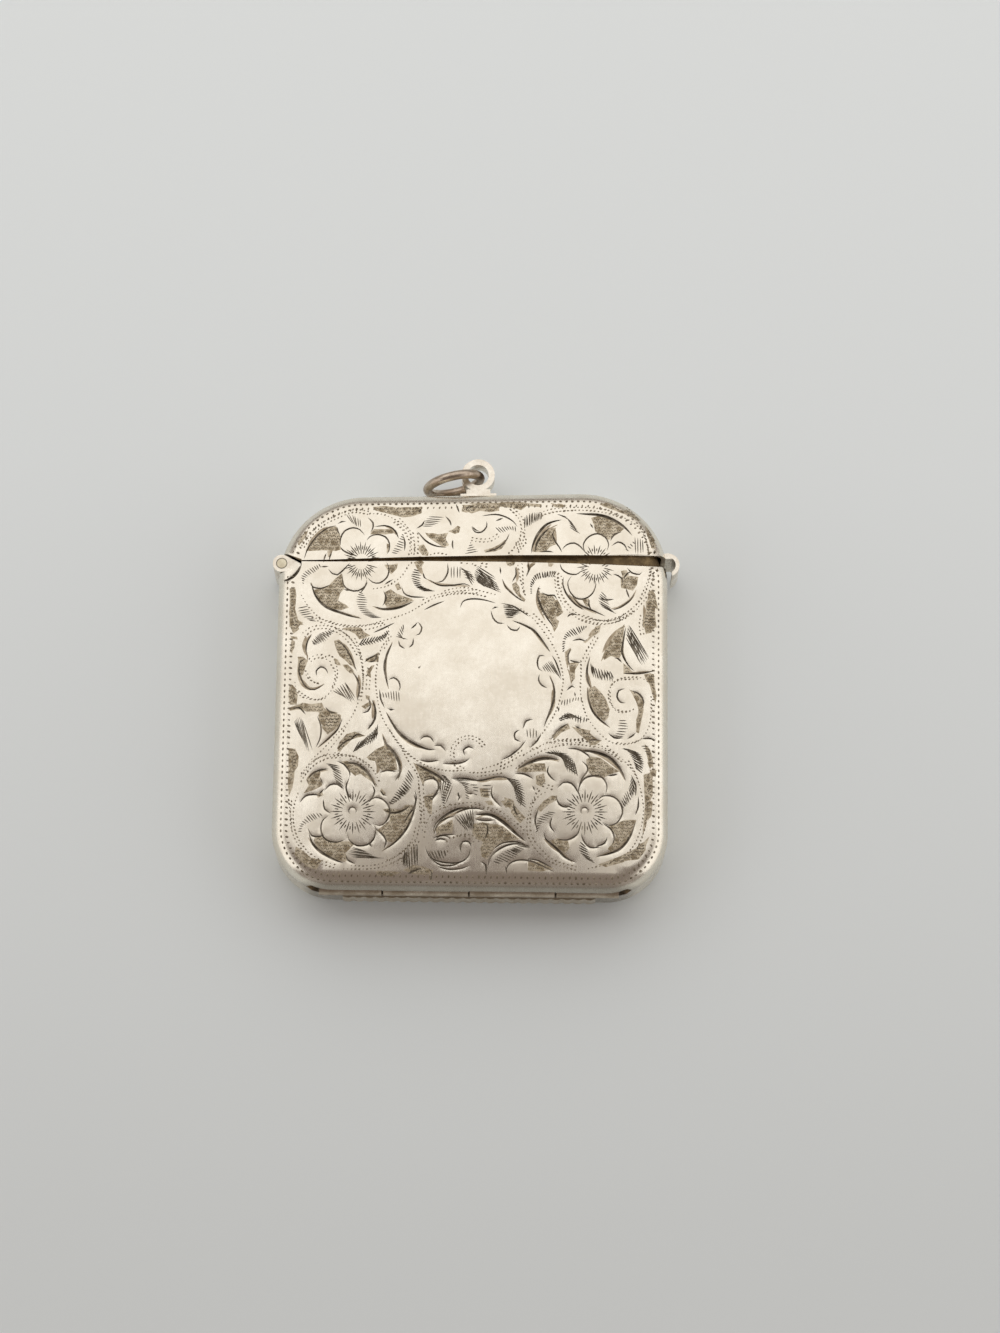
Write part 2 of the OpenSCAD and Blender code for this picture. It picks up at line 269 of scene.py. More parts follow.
class Tracing:
    """An enlarged part of the photo, with its corner and its scale, on which lines are read off."""

    def __init__(self, corner_x, corner_y, scale):
        self.corner = (corner_x, corner_y)
        self.scale = scale

    def points(self, text):
        """Places on the face for the pairs x,y of a text, as read off the enlargement."""
        pairs = [[float(n) for n in pair.split(",")] for pair in text.split()]
        return np.array([on_face(self.corner[0] + x / self.scale, self.corner[1] + y / self.scale)
                         for x, y in pairs])

    def lines(self, text, step):
        """Round curves through the lines of a text, which semicolons part."""
        return [smooth(self.points(line), step) for line in text.split(";")]

    def cut(self, text, width=LINE):
        """Lines that swell in the middle and thin out at both ends."""
        for path in self.lines(text, CURVE_STEP):
            along = np.linspace(0, 1, len(path))
            strokes.append((path, width / 2 * np.sin(math.pi * along) ** 0.6))

    def hatch(self, first, second, count, width=FINE):
        """Short cuts between two guide lines, which shade a leaf."""
        guides = [smooth(self.points(text), GUIDE_STEP) for text in (first, second)]
        reach = max(np.linalg.norm(np.diff(guide, axis=0), axis=1).sum() for guide in guides)
        for t in np.linspace(0, 1, max(4, min(count, round(reach / HATCH_STEP)))):
            a, b = (guide[round(t * (len(guide) - 1))] for guide in guides)
            path = a + np.linspace(0, 1, len(HATCH_SWELL))[:, None] * (b - a)
            strokes.append((path, width / 2 * HATCH_SWELL))

    def arc(self, x, y, r, start, end, width=LINE):
        """A cut round part of a circle."""
        self.cut(around(x, y, r, start, end, 9), width=width)

    def rays(self, x, y, inner, outer, start, end, count):
        """Short cuts that spread from a flower's eye, long and short in turn."""
        for k, a in enumerate(np.radians(np.linspace(start, end, count))):
            begin = inner + (0.2 + 0.3 * (k % 2)) * (outer - inner)
            reach = outer * (1.1 - 0.22 * (k % 2))
            ends = [(x + r * math.cos(a), y + r * math.sin(a)) for r in (begin, reach)]
            a0, b0 = (self.points(f"{px:.1f},{py:.1f}")[0] for px, py in ends)
            path = a0 + np.linspace(0, 1, len(RAY_SWELL))[:, None] * (b0 - a0)
            strokes.append((path, RAY / 2 * RAY_SWELL))

    def dots(self, text):
        """Lines along which dots are punched."""
        dot_rows.extend(self.lines(text, ROW_LINE_STEP))

    def dot_ring(self, x, y, r, start=0, end=360):
        """A row of dots round part of a circle."""
        self.dots(around(x, y, r, start, end, 25))

    def tone(self, text, width=SHADE_BAND_WIDTH):
        """A broad band of painted shade that rounds a stem, kept as a narrow outline; it is colour, not a
        cut.
        """
        for path in self.lines(text, CURVE_STEP):
            half = width / 2 * np.sin(math.pi * np.linspace(0.03, 0.97, len(path))) ** 0.7
            left, _, right = stroke_edges(path, half)
            shades.append(np.vstack([left, right[::-1]]))

    def ground(self, text):
        """Patches of dark wriggled ground between the figures."""
        patches.extend(self.points(outline) for outline in text.split(";"))


print("lines are", LINE, "mm wide, bold ones", BOLD, "and hatching", FINE)

# %% [markdown]
# ## The drawing
# Four flowers stand in the corners, each inside the coil of a stem. Smaller coils fill the sides, the top and
# the base, and a vacant round cartouche with small trefoils holds the middle. The lines are typed part by
# part, as an engraver transfers a design, and they run on across the lid's seam.

# %% Top left flower
sheet = Tracing(290, 490, 8.2526)
sheet.cut("""
115,570 150,480 215,390 300,320 385,290; 390,280 425,262 465,258; 385,300 395,340 415,375;
640,225 685,270 682,320 665,350; 690,305 780,295 850,320 890,390; 810,295 870,340 897,405;
415,470 418,400 450,340 520,312 580,330 618,378; 412,465 440,500 500,530 560,545;
632,420 660,385 720,368 790,390 820,440 820,490 800,535; 315,650 350,690 390,700 440,660 495,600;
320,600 330,550 345,510; 430,690 440,780 490,825 560,832 620,790 637,725;
795,590 817,650 800,720 740,767 680,760 635,718; 930,370 948,430 945,505; 165,760 190,800 260,812 335,780;
250,635 320,630; 440,820 500,832; 580,850 610,810 642,758
""")
sheet.cut("""
175,770 210,870 290,960 410,1010 500,1040 595,1062; 690,960 780,985 900,970 1020,920
""", width=BOLD)
sheet.cut("770,830 792,880 780,930 760,960; 300,520 285,560 275,600; 780,780 820,755 855,735")
sheet.rays(592, 578, 30, 140, 180, 360, 22)
sheet.rays(585, 605, 30, 130, 15, 170, 18)
sheet.cut("""
1300,600 1302,680 1260,750 1200,762; 1098,680 1108,720 1140,745; 920,790 940,850 1000,880 1120,885
""")
sheet.cut("1140,735 1230,785 1340,787 1440,775 1500,800; 1050,340 1120,420 1200,462 1295,476", width=0.22)
sheet.cut("""
1345,410 1340,450 1347,492; 1060,190 1085,150; 1370,120 1398,190; 1500,300 1530,330 1568,345;
1110,250 1090,290 1040,320; 1280,215 1320,260 1330,300
""")
sheet.dots("""
660,195 760,200 860,240 950,310 1012,400 1032,480 1012,560 980,620 930,700 860,760 780,800 690,815;
860,270 930,330 985,420 990,500 970,560;
95,870 150,960 240,1050 350,1100 480,1128 620,1120 760,1080 900,1040 1000,1000 1100,940 1200,890 1350,860
1540,850; 230,1080 340,1125 480,1155 640,1150 780,1110; 640,200 520,185 400,230 280,290 190,370 120,470;
1100,905 1230,860 1380,835 1540,822
""")
print("top left", len(strokes), "strokes")

# %% Top right flower
sheet = Tracing(470, 490, 7.84)
sheet.cut("""
10,290 40,330 90,332 130,290 130,245; 90,205 200,193 280,213 340,250 372,292; 200,245 262,220;
310,340 280,400 210,460 105,492; 235,600 242,662; 250,690 280,760 340,820 420,872 440,850;
352,600 362,660 330,722; 450,565 462,620 440,682; 665,310 648,350 665,400 700,450 722,492
""")
sheet.cut("480,500 490,440 530,350 590,280 650,250 722,233", width=0.32)
sheet.cut("510,492 520,430 560,360 632,290; 545,750 528,820 560,920 610,1010 662,1082", width=0.26)
sheet.cut("830,185 920,190 1000,195 1080,215 1160,255 1220,300 1272,357", width=0.36)
sheet.cut("""
720,470 760,430 820,418 870,450 902,492; 905,500 888,430 930,368 1000,343 1060,370 1087,430 1070,482;
1108,440 1160,408 1210,430 1232,472; 1100,402 1130,350 1190,328; 940,260 967,302; 835,378 842,412;
540,490 600,482 660,490; 705,572 720,620 770,655 830,662 872,640;
802,668 768,720 780,790 830,847 900,852 960,810 987,740 975,698; 1010,840 1060,862 1132,856;
1120,658 1162,672 1192,695 1196,740; 1230,608 1270,650 1330,662 1352,640
""")
sheet.cut("735,680 728,740 760,820 830,900 902,942; 800,830 860,900 950,940 1062,990", width=0.24)
sheet.cut("""
1110,942 1180,920 1260,860 1292,800; 1222,770 1235,810 1252,852; 560,800 610,827 660,825 682,862;
760,1000 790,975 835,975; 940,860 930,900 960,950; 1195,700 1240,650 1270,640
""")
sheet.rays(985, 595, 50, 135, 15, 175, 21)
sheet.rays(985, 560, 40, 120, 200, 340, 14)
sheet.dots("""
320,160 380,220 402,300 390,380 350,450 305,495; 345,150 410,220 430,300 418,390 380,470;
690,660 700,760 750,870 830,960 930,1010 1050,1022 1180,990 1280,920 1360,830 1402,720 1420,640;
665,680 675,780 730,900 820,990 930,1042 1060,1052 1200,1015 1310,935; 1230,160 1310,250 1370,360 1396,470;
560,200 640,175 740,165 850,160 960,165 1080,185 1180,220; 370,560 385,640 400,720 420,800;
0,565 60,570 130,580; 20,375 80,385 150,382 210,350
""")
print("with top right", len(strokes), "strokes")

# %% Left coil and the cartouche's left side
sheet = Tracing(280, 620, 7.84)
sheet.cut("""
252,108 215,170 204,240 216,292; 210,300 160,330 148,400 170,470 210,530 270,547 330,515 352,498
""")
sheet.cut("290,442 284,400 320,368 360,385 376,422; 430,160 500,200 560,300 602,402")
sheet.cut("""
560,400 610,470 622,550 602,642; 355,680 390,720 452,732; 90,700 150,688 202,742;
290,750 320,830 316,920 280,1002; 490,770 450,860 380,930 290,1005; 730,100 800,70 902,20;
660,332 700,300 735,285 782,258; 690,330 740,320 765,270; 640,730 690,715 710,680 692,600
""")
sheet.cut("882,178 840,270 819,360 830,450 852,532; 720,620 747,700 740,780 690,862", width=0.28)
sheet.cut("850,470 890,453 930,480 942,530 930,562; 780,540 790,620 822,692; 840,690 870,705 902,700")
sheet.cut("830,720 880,810 940,890 1030,960 1150,1012 1222,1016", width=0.3)
sheet.cut("""
1095,942 1130,914 1180,920 1207,962; 1208,987 1260,984 1302,1030; 1090,1096 1160,1110 1252,1100;
1270,1126 1380,1127 1450,1110 1492,1078; 1450,1062 1438,1020 1480,994 1522,1012;
1080,13 1112,60 1092,110 1058,122; 1045,138 1040,190 1008,217; 930,158 940,200 982,226;
1025,70 1060,40 1085,10; 540,952 600,900 662,910; 795,1192 850,1178 912,1192
""")
sheet.cut("800,900 830,970 900,1050 940,1150 930,1252", width=0.34)
sheet.dots("""
180,100 260,50 400,50 500,100 580,180 630,260 650,350 655,450 640,550 600,680 540,790 440,900 330,1020
250,1090; 195,130 270,75 390,72 480,120 550,190 600,270;
330,298 400,280 440,350 450,430 420,520 370,590 290,625 210,600 150,560; 200,400 230,440 250,480 300,500;
850,60 850,140 800,210 770,300 755,400 750,500 765,620 785,720 830,820 890,910 970,1010 1060,1090 1170,1150
1300,1180 1450,1180; 870,130 820,220; 860,860 920,960 1000,1050 1100,1120; 690,380 705,450 700,540
""")
sheet.dot_ring(1480, 1050, 118, 110, 330)
print("with left side", len(strokes), "strokes")

# %% Right coil and the cartouche's right side
sheet = Tracing(470, 600, 7.84)
sheet.cut("163,78 180,140 220,180 272,181; 288,193 320,230 370,237 392,203; 170,72 195,58 224,55")
sheet.cut("""
330,160 420,195 500,240 560,310 632,412; 620,590 655,670 661,750 640,840 600,940 578,1002
""", width=0.28)
sheet.cut("""
592,440 545,438 528,490 540,540 572,562; 640,430 670,480 700,560 716,612; 545,580 538,630 565,670 608,691;
497,935 440,950 413,1012; 392,1018 353,1040 353,1090 402,1112; 560,1040 530,1100 468,1162;
440,1098 380,1170 300,1230 240,1254; 800,320 860,308 912,326; 775,468 820,485 872,491
""")
sheet.cut("792,378 768,440 782,522; 630,1102 680,1030 760,975 777,1000; 820,988 872,1012")
sheet.cut("942,438 918,540 925,640 952,692; 920,690 930,780 960,870 1020,940 1102,1002", width=0.24)
sheet.cut("1217,694 1168,710 1153,760 1180,802 1222,806; 1258,708 1330,740 1362,800 1350,852", width=0.22)
sheet.cut("1080,1038 1130,1080 1202,1082; 1230,1092 1280,1060 1302,1038; 1130,453 1160,460 1192,492")
sheet.cut("1222,208 1200,330 1194,420 1240,510 1292,562; 1198,576 1330,576 1442,558", width=0.24)
sheet.cut("""
930,1132 942,1100 1032,1100; 760,130 800,108 850,120; 820,720 826,760; 755,712 800,675 828,690;
240,25 330,45 400,85 465,130; 700,835 690,880; 1340,1090 1400,1085 1460,1100
""")
sheet.dots("""
400,70 500,150 580,250 640,340 690,440 720,540 730,640 715,740 690,830 650,920 600,1000 540,1080 470,1150;
870,480 870,600 865,700 880,800 910,900 960,980 1030,1060 1120,1120 1240,1130 1340,1090 1400,1000 1420,880
1420,760; 500,110 590,200 650,290; 930,130 1000,160 1090,165 1190,140 1280,90;
1000,300 960,370 930,420 905,480; 640,1120 760,1090 880,1105 1000,1130 1090,1180;
1130,640 1180,615 1260,605 1340,610 1390,640
""")
sheet.dot_ring(1215, 745, 130, 60, 260)
print("with right side", len(strokes), "strokes")

# %% Bottom left flower
sheet = Tracing(280, 740, 7.84)
sheet.cut("218,292 300,240 382,224; 440,163 500,190 546,250 545,292; 315,290 325,320 342,352")
sheet.cut("500,180 600,190 690,260 752,372; 225,730 260,820 340,890 430,940 502,966", width=0.3)
sheet.cut("""
545,290 518,370 540,440 572,472; 720,350 742,400 720,460 688,492; 345,400 390,353 450,348 492,386;
338,460 350,540 402,577; 690,490 740,453 800,463 847,510 862,570 830,642 780,672 718,650;
528,720 540,780 600,827 680,822 732,780 752,700 728,658; 382,588 330,640 323,720 360,782 440,802 512,780;
153,492 200,440 270,428 332,440; 218,690 250,750 310,757 352,740; 520,900 530,940 592,972;
738,690 790,730 832,790 810,862; 690,798 722,842; 780,258 840,238 902,250; 785,388 810,430 842,436
""")
sheet.cut("""
810,553 900,572 980,545 1022,508; 1050,418 1062,500 1020,640 960,740 880,820 798,872
""", width=0.26)
sheet.cut("902,322 942,250 920,140 850,48; 1060,188 1160,240 1250,290 1302,342", width=0.32)
sheet.cut("""
1010,1052 1050,1030 1102,1010 1112,1050; 1190,1028 1180,1102;
1110,302 1180,288 1230,320 1242,380 1200,442 1128,440; 1340,303 1430,300 1568,318
""")
sheet.cut("1200,722 1220,660 1300,590 1400,540 1502,530", width=0.3)
sheet.cut("""
1198,772 1260,750 1382,740; 1180,930 1260,982 1360,982 1442,940; 1420,852 1428,800 1480,798 1502,842;
1380,430 1405,440 1395,400; 1210,790 1260,775 1310,790
""")
sheet.arc(568, 556, 30, 130, 400, width=0.17)
sheet.rays(570, 562, 62, 165, 0, 352, 40)
sheet.dots("""
170,260 250,170 360,120 480,115 590,130 680,180 740,250 775,320;
90,480 80,620 110,760 190,880 300,960 420,1000;
500,1010 700,1010 850,980 980,900 1060,800 1090,680 1110,550 1090,400 1080,280 1010,170 950,60;
560,985 700,985 830,955 950,880 1030,790 1062,690; 140,420 110,520 105,640 140,770 220,880;
200,270 270,195 370,145 470,138; 1150,650 1180,590 1260,540 1370,505 1480,490 1560,495; 1130,760 1140,680;
1330,770 1400,745 1480,740 1540,760
""")
print("with bottom left", len(strokes), "strokes")

# %% Bottom right flower
sheet = Tracing(460, 740, 7.467)
sheet.cut("430,216 520,170 620,138 742,146; 880,80 1000,90 1110,130 1190,210 1242,312", width=0.36)
sheet.cut("665,188 653,240 690,290 722,312; 802,258 790,292; 800,64 880,70 950,110 977,142")
sheet.cut("""
905,153 945,190 952,230 910,290 883,362; 883,422 890,350 930,288 1000,268 1060,280 1097,340 1085,412;
725,362 770,318 830,323 870,370 887,412; 713,408 740,480 790,502 832,490;
1018,462 1070,418 1150,428 1200,480 1212,550 1170,620 1110,637 1058,610;
1060,618 1130,670 1152,740 1130,792; 903,690 920,750 970,802 1052,800; 690,568 673,640 710,692;
718,740 800,747 870,710 902,648; 1280,268 1312,340 1310,422; 1100,268 1180,258; 1332,418 1330,500 1308,562
""")
sheet.cut("""
1312,608 1270,720 1200,810 1110,850 1018,872; 625,678 640,740 720,810 790,880 872,916
""", width=0.28)
sheet.cut("""
590,498 560,600 580,682; 0,290 150,302 300,275 402,302; 245,338 233,400 260,450 312,502;
408,250 480,255 552,292; 540,340 560,380; 240,822 320,770 430,763 522,802; 395,470 415,540 440,560
""")
sheet.cut("110,558 230,560 330,620 430,710 492,757", width=0.38)
sheet.cut("500,888 580,900 692,957; 340,938 350,1002; 510,880 515,920; 1010,800 1080,770 1100,720")
sheet.arc(930, 532, 28, 130, 400, width=0.17)
sheet.rays(932, 538, 55, 158, 0, 352, 40)
sheet.dots("""
1120,80 1230,160 1310,260 1350,380 1370,520 1350,660 1290,800 1190,880 1080,930 960,960;
590,380 540,450 510,560 500,680 540,780 620,870 720,930 860,970; 560,440 530,540 525,660 560,760 640,850;
0,505 100,500 220,520 330,580 420,650 470,700; 1395,420 1400,520 1380,660 1320,810 1220,900;
420,210 520,130 640,70 760,40 880,35 1000,50; 0,715 50,725 100,760; 170,215 280,180 380,130 460,80
""")
print("with bottom right", len(strokes), "strokes,", len(patches), "patches,", len(dot_rows), "rows of dots")

# %% [markdown]
# ## Hatching
# Leaves and stems are shaded with short parallel cuts, which the light turns bluish grey. Each group lies
# between two guide lines, one for each end of its cuts, and the bold groups are cut deeper.

# %% Hatching, top
sheet = Tracing(285, 490, 8)
sheet.hatch("490,195 540,200 600,235", "545,270 575,290 605,295", 9)
sheet.hatch("590,815 570,880 585,940 620,990 680,1020", "625,830 660,880 655,930 690,975 770,1020", 14)
sheet.hatch("935,355 910,400 880,450 855,500", "950,365 958,410 945,470 900,510", 9)
sheet.hatch("1030,635 1010,680 1015,720 1040,770 1090,805", "1075,650 1090,690 1085,740 1120,780 1200,808",
            13, HEAVY)
sheet.hatch("270,590 210,620 160,650 130,690 140,740", "285,620 240,660 200,680 165,710 150,750", 14)
sheet.hatch("105,945 110,975 140,1010 190,1040", "185,930 200,965 225,1010 250,1050", 8)
sheet.hatch("1100,290 1110,255 1150,215", "1180,290 1240,260 1270,220", 8)
sheet.hatch("1480,425 1460,470 1440,510", "1490,425 1520,460 1545,490", 9)
sheet.hatch("1400,630 1420,660 1440,700", "1490,660 1510,690 1500,715", 8)
sheet = Tracing(470, 490, 8)
sheet.hatch("440,215 480,195 530,180 575,180", "435,310 470,290 510,270 570,235", 14)
sheet.hatch("700,195 760,215 790,250 800,300", "770,215 815,260 850,310 880,350", 12)
sheet.hatch("205,300 260,295 320,290 360,290", "250,345 280,340 320,320 365,335", 11)
sheet.hatch("1320,380 1350,385 1380,400", "1325,510 1350,515 1385,500", 9)
sheet.hatch("1245,470 1270,440 1300,415", "1270,490 1300,460 1320,430", 7)
sheet.hatch("485,830 480,760 500,700 550,660 620,650 690,650",
            "495,820 500,770 520,730 570,710 620,700 660,700", 22, HEAVY)
sheet.hatch("60,610 45,650 40,700 60,740", "200,700 215,750 240,790 250,820", 9, HEAVY)
sheet.hatch("1050,815 1030,850 1025,890 1050,930", "1095,860 1110,900 1130,950 1170,990", 11)
sheet.hatch("265,930 275,960 275,990 290,1010", "340,925 380,950 400,970 350,1000", 9)
sheet.hatch("540,790 530,850 545,930 580,1000", "565,790 560,860 580,930 610,990", 10)
print(len(strokes), "strokes with the top's hatching")

# %% Hatching, sides
sheet = Tracing(278, 615, 8)
sheet.hatch("270,205 300,170 345,140 400,122", "310,240 350,225 385,210 425,160", 13)
sheet.hatch("440,605 470,585 500,560 535,545", "520,650 560,680 590,700 612,690", 14)
sheet.hatch("130,850 150,825 180,820 200,850", "180,970 210,1030 240,1090 275,1080", 8)
sheet.hatch("690,185 750,175 820,165 880,135", "650,240 710,235 780,215 850,190", 17, HEAVY)
sheet.hatch("815,615 860,620 910,605 965,610", "825,660 870,665 930,690 970,690", 14)
sheet.hatch("1000,75 965,120 945,170", "1005,120 1000,190 1035,195", 9)
sheet.hatch("600,1090 650,1030 710,980 780,900", "640,1075 690,1050 750,1010 800,960", 20, HEAVY)
sheet = Tracing(475, 600, 8)
sheet.hatch("225,45 230,80 240,115 250,140", "300,55 380,90 345,115 310,140", 9)
sheet.hatch("540,530 560,510 585,492 610,488", "565,572 610,582 655,600 690,640", 12)
sheet.hatch("700,415 698,340 720,270 770,230 840,208 890,205",
            "715,400 725,330 745,300 790,290 840,270 885,225", 22, HEAVY)
sheet.hatch("925,500 950,535 1000,560 1050,560 1090,585", "935,590 965,620 1010,640 1060,650 1100,655", 17)
sheet.hatch("1215,270 1215,230 1230,200 1250,260", "1290,450 1320,510 1350,515 1390,470", 9)
sheet.hatch("700,800 740,790 790,780 850,775", "690,840 730,845 790,810 850,810", 13)
sheet.hatch("690,940 720,905 780,910 840,925 895,945", "670,955 720,950 780,960 830,985 890,975", 16, HEAVY)
sheet.hatch("1150,965 1145,1010 1135,1050 1110,1085", "1210,965 1225,1010 1215,1050 1190,1095", 10)
sheet.hatch("415,1035 440,1028 470,1025 490,1040", "420,1095 445,1105 470,1110 490,1100", 8)
print(len(strokes), "strokes with the sides' hatching")

# %% Hatching, base
sheet = Tracing(278, 745, 8)
sheet.hatch("385,150 430,190 445,250 460,290", "490,170 505,220 520,290 530,355", 17, HEAVY)
sheet.hatch("160,690 175,640 215,580 260,550 330,545", "190,690 200,650 240,625 290,605 355,570", 16)
sheet.hatch("600,820 580,845 560,870 600,900", "700,850 760,880 810,900 850,905", 9)
sheet.hatch("890,470 930,390 990,310 1040,200", "930,470 990,420 1050,370 1085,270", 22, HEAVY)
sheet.hatch("1005,880 1030,840 1070,810 1115,795", "1000,960 1030,990 1070,1000 1115,970", 14)
sheet.hatch("1310,240 1345,290 1330,350 1305,410 1320,480", "1350,260 1390,310 1370,370 1345,420 1335,490",
            18, HEAVY)
sheet.hatch("1400,275 1450,300 1490,340 1500,420", "1540,275 1535,310 1530,360 1530,430", 12)
sheet.hatch("1205,850 1240,845 1290,840 1330,840", "1230,900 1270,915 1310,910 1345,890", 11)
sheet.hatch("1450,590 1480,560 1520,530 1560,515", "1500,640 1530,670 1550,690 1560,700", 10)
sheet = Tracing(470, 735, 8)
sheet.hatch("600,140 680,150 740,190 755,240", "780,150 830,200 850,260 865,320", 20, HEAVY)
sheet.hatch("1290,320 1270,420 1230,480 1205,540", "1325,420 1310,480 1270,540 1225,590", 15)
sheet.hatch("880,855 870,900 880,940 920,980", "930,900 950,930 960,970 1000,1025", 13, HEAVY)
sheet.hatch("525,780 530,700 560,650 620,615", "545,760 570,710 610,690 685,625", 15)
sheet.hatch("290,345 340,400 355,460 370,520", "400,370 430,430 440,500 450,580", 20, HEAVY)
sheet.hatch("400,875 340,900 300,940 250,990", "480,890 420,930 380,970 310,1020", 10)
sheet.hatch("1220,110 1290,140 1310,200 1320,260", "1290,120 1360,150 1390,210 1380,305", 16, HEAVY)
sheet.hatch("0,400 20,420 30,470", "60,400 70,430 60,480", 7)
sheet.hatch("100,405 100,440 105,485", "170,405 170,440 165,480", 6)
sheet.hatch("1370,90 1390,120 1410,150", "1430,90 1440,120 1440,160", 5)
print(len(strokes), "strokes with all the hatching")

# %% A dark cut below the lid's hinge as painted shade of the gap there, and a nick in the cartouche
sheet = Tracing(0, 0, 1)
# This cut is painted shade: a dark groove where the gap beside the knuckle would be in shade.
sheet.cut("301.3,564.2 299.3,568.9 296.2,573.5 292.3,577.4 287.7,579.8 281.5,581.5", width=0.36)
sheet.cut("418.6,666.6 419,667 419.4,667.4", width=0.3)
print(len(strokes), "strokes with these two")

# %% [markdown]
# ## Ground and painted shade
# The spaces between leaves and stems were darkened, and a broad band of painted shade rounds the back of each
# stem. Both are read from enlargements of the same size, one for each sixth of the face.

# %% Ground, top
sheet = Tracing(285, 490, 8)
sheet.ground("""
180,480 215,410 250,370 300,330 350,305 400,300 420,340 440,380 430,430 440,470 400,480 300,475 230,480;
340,490 380,485 365,530 345,535; 700,330 720,315 800,315 850,320 870,345 800,355 740,350 690,355;
815,430 840,440 835,490 815,500; 105,430 120,390 150,350 180,330 170,370 140,410 115,440;
720,140 800,133 900,143 1000,143 1080,138 1075,185 1000,210 940,215 880,200 800,180 740,165;
1075,450 1110,440 1145,500 1140,525 1100,520 1070,480; 1150,350 1200,365 1240,360 1230,385 1180,385;
1230,400 1290,410 1310,440 1270,460 1240,440; 1310,330 1360,350 1390,340 1400,300 1380,290 1340,320;
400,720 450,680 460,730 470,790 440,820 420,880 480,910 500,930 440,950 330,930 280,890 240,820 250,800
300,790 350,775; 800,600 850,600 900,590 890,630 850,670 830,650; 880,760 910,740 930,790 900,800;
810,820 850,800 890,830 940,850 1000,870 1020,885 940,900 880,920 820,930 800,900;
1035,580 1080,560 1110,580 1090,620 1060,625; 40,800 80,790 90,850 80,950 100,1020 60,1080 40,1000;
1420,145 1460,130 1560,120 1560,150 1500,170 1450,180 1420,170; 80,1040 140,1060 100,1100 60,1100
""")
sheet.tone("""
170,500 200,420 250,360 310,310 390,290; 800,290 850,310 890,360; 700,930 780,955 880,930 1020,885;
210,740 240,830 290,900 380,960 480,990 600,1020; 1130,710 1200,745 1300,760 1480,770
""")
sheet = Tracing(470, 490, 8)
sheet.ground("""
20,115 100,112 200,112 300,115 360,108 500,118 550,122 540,140 440,132 400,160 370,150 200,130 100,140;
120,480 180,465 230,440 275,405 280,430 250,470 200,490 130,500;
520,490 520,440 545,390 600,350 640,320 680,310 670,370 690,430 640,450 600,490;
650,115 700,122 770,132 720,145 680,140;
1050,130 1110,130 1180,165 1290,195 1350,235 1370,265 1320,250 1250,210 1150,170 1080,145;
1420,300 1450,330 1470,400 1485,470 1450,460 1430,400 1410,350;
980,230 1040,215 1100,235 1180,275 1220,310 1190,335 1140,370 1110,390 1060,365 1010,330 1000,280;
290,575 330,565 360,580 350,600 320,610 300,600; 460,680 465,620 485,590 520,575 520,595 490,620;
625,580 670,590 650,615 630,610; 340,760 370,740 395,780 400,830 440,870 430,890 380,840 350,800;
560,830 600,840 660,850 690,900 720,950 740,970 690,1000 680,1060 650,1050 620,980 590,930 570,880;
1210,700 1260,690 1340,700 1330,760 1300,800 1260,790 1215,780; 1210,650 1250,640 1270,680 1220,690;
1430,830 1460,810 1480,850 1500,960 1470,940 1480,1010 1490,1090 1450,1070 1400,1090 1385,1060 1410,970;
900,880 950,870 960,930 930,930
""")
sheet.tone("""
510,500 520,430 560,370 640,310 700,280; 545,780 535,860 550,940 600,1040; 260,720 290,780 350,830;
820,830 860,900 930,950 1010,990; 1130,950 1210,930 1290,870 1330,800
""")
print(len(patches), "patches of ground on the top")

# %% Ground, sides
sheet = Tracing(278, 615, 8)
sheet.ground("""
95,0 130,0 160,40 200,75 150,80 110,100 95,90; 100,170 150,175 155,195 110,190;
110,200 135,215 130,260 105,300 100,260; 160,340 200,340 235,370 215,420 200,470 175,480 160,430 165,380;
455,215 490,205 530,240 570,290 600,370 610,410 570,390 530,350 500,330 480,300 465,260;
450,345 480,360 500,400 470,400 455,380; 520,400 560,400 600,440 610,470 570,460 540,430;
110,560 140,590 155,640 150,690 110,700 105,640;
105,740 150,725 200,705 260,715 340,705 355,740 345,780 300,770 230,770 180,750 110,765;
330,800 390,810 440,800 490,800 500,840 470,880 420,900 380,890 340,860;
550,105 610,100 660,105 690,140 730,160 690,180 650,190 620,150 570,125;
705,350 740,340 800,300 800,370 760,375 710,370; 710,450 745,410 770,405 740,460 745,500 715,480;
700,640 735,650 730,680 705,670; 670,730 740,690 740,720 700,750;
480,1060 520,1000 570,950 610,940 690,970 620,985 560,1010 530,1050 500,1090;
850,1100 880,1040 910,1060 940,1110 900,1120
""")
sheet.tone("""
270,155 225,200 210,260 235,330 235,370; 610,470 640,530 650,600 635,680; 490,890 440,950 380,1010 320,1060;
735,690 770,750 775,830 740,890 710,915; 915,215 870,320 858,430 870,530 885,590;
870,780 930,890 990,970 1080,1040 1190,1075; 835,950 860,1030 850,1080; 200,520 250,585 310,585 370,550
""")
sheet = Tracing(475, 600, 8)
sheet.ground("""
510,0 560,40 600,90 620,110 600,150 570,130 530,80; 630,20 660,0 690,60 700,100 660,130 640,90;
610,190 640,150 670,170 660,210 635,250; 900,310 940,270 960,220 1000,205 990,260 940,290 890,340 870,330;
720,420 760,390 770,400 745,450 755,500 740,540 725,480; 755,510 800,505 830,510 800,560 800,620 770,660;
1030,440 1080,340 1140,250 1190,210 1180,290 1185,400 1150,460 1090,440 1040,470;
1190,510 1230,540 1260,580 1190,590; 1355,600 1400,590 1430,600 1430,680 1420,720 1380,640;
1370,20 1420,20 1440,60 1430,130 1445,200 1410,250 1370,260 1350,180 1370,100;
920,720 960,700 1000,740 1040,790 1070,870 1060,930 1030,960 990,930 940,850 915,780;
1240,730 1300,755 1340,800 1345,880 1330,950 1310,1050 1290,1040 1290,950 1310,890 1290,820 1260,760;
620,1080 660,1050 700,1010 740,990 755,1030 690,1060 640,1110;
800,1005 850,1030 920,1045 900,1080 860,1085 830,1040
""")
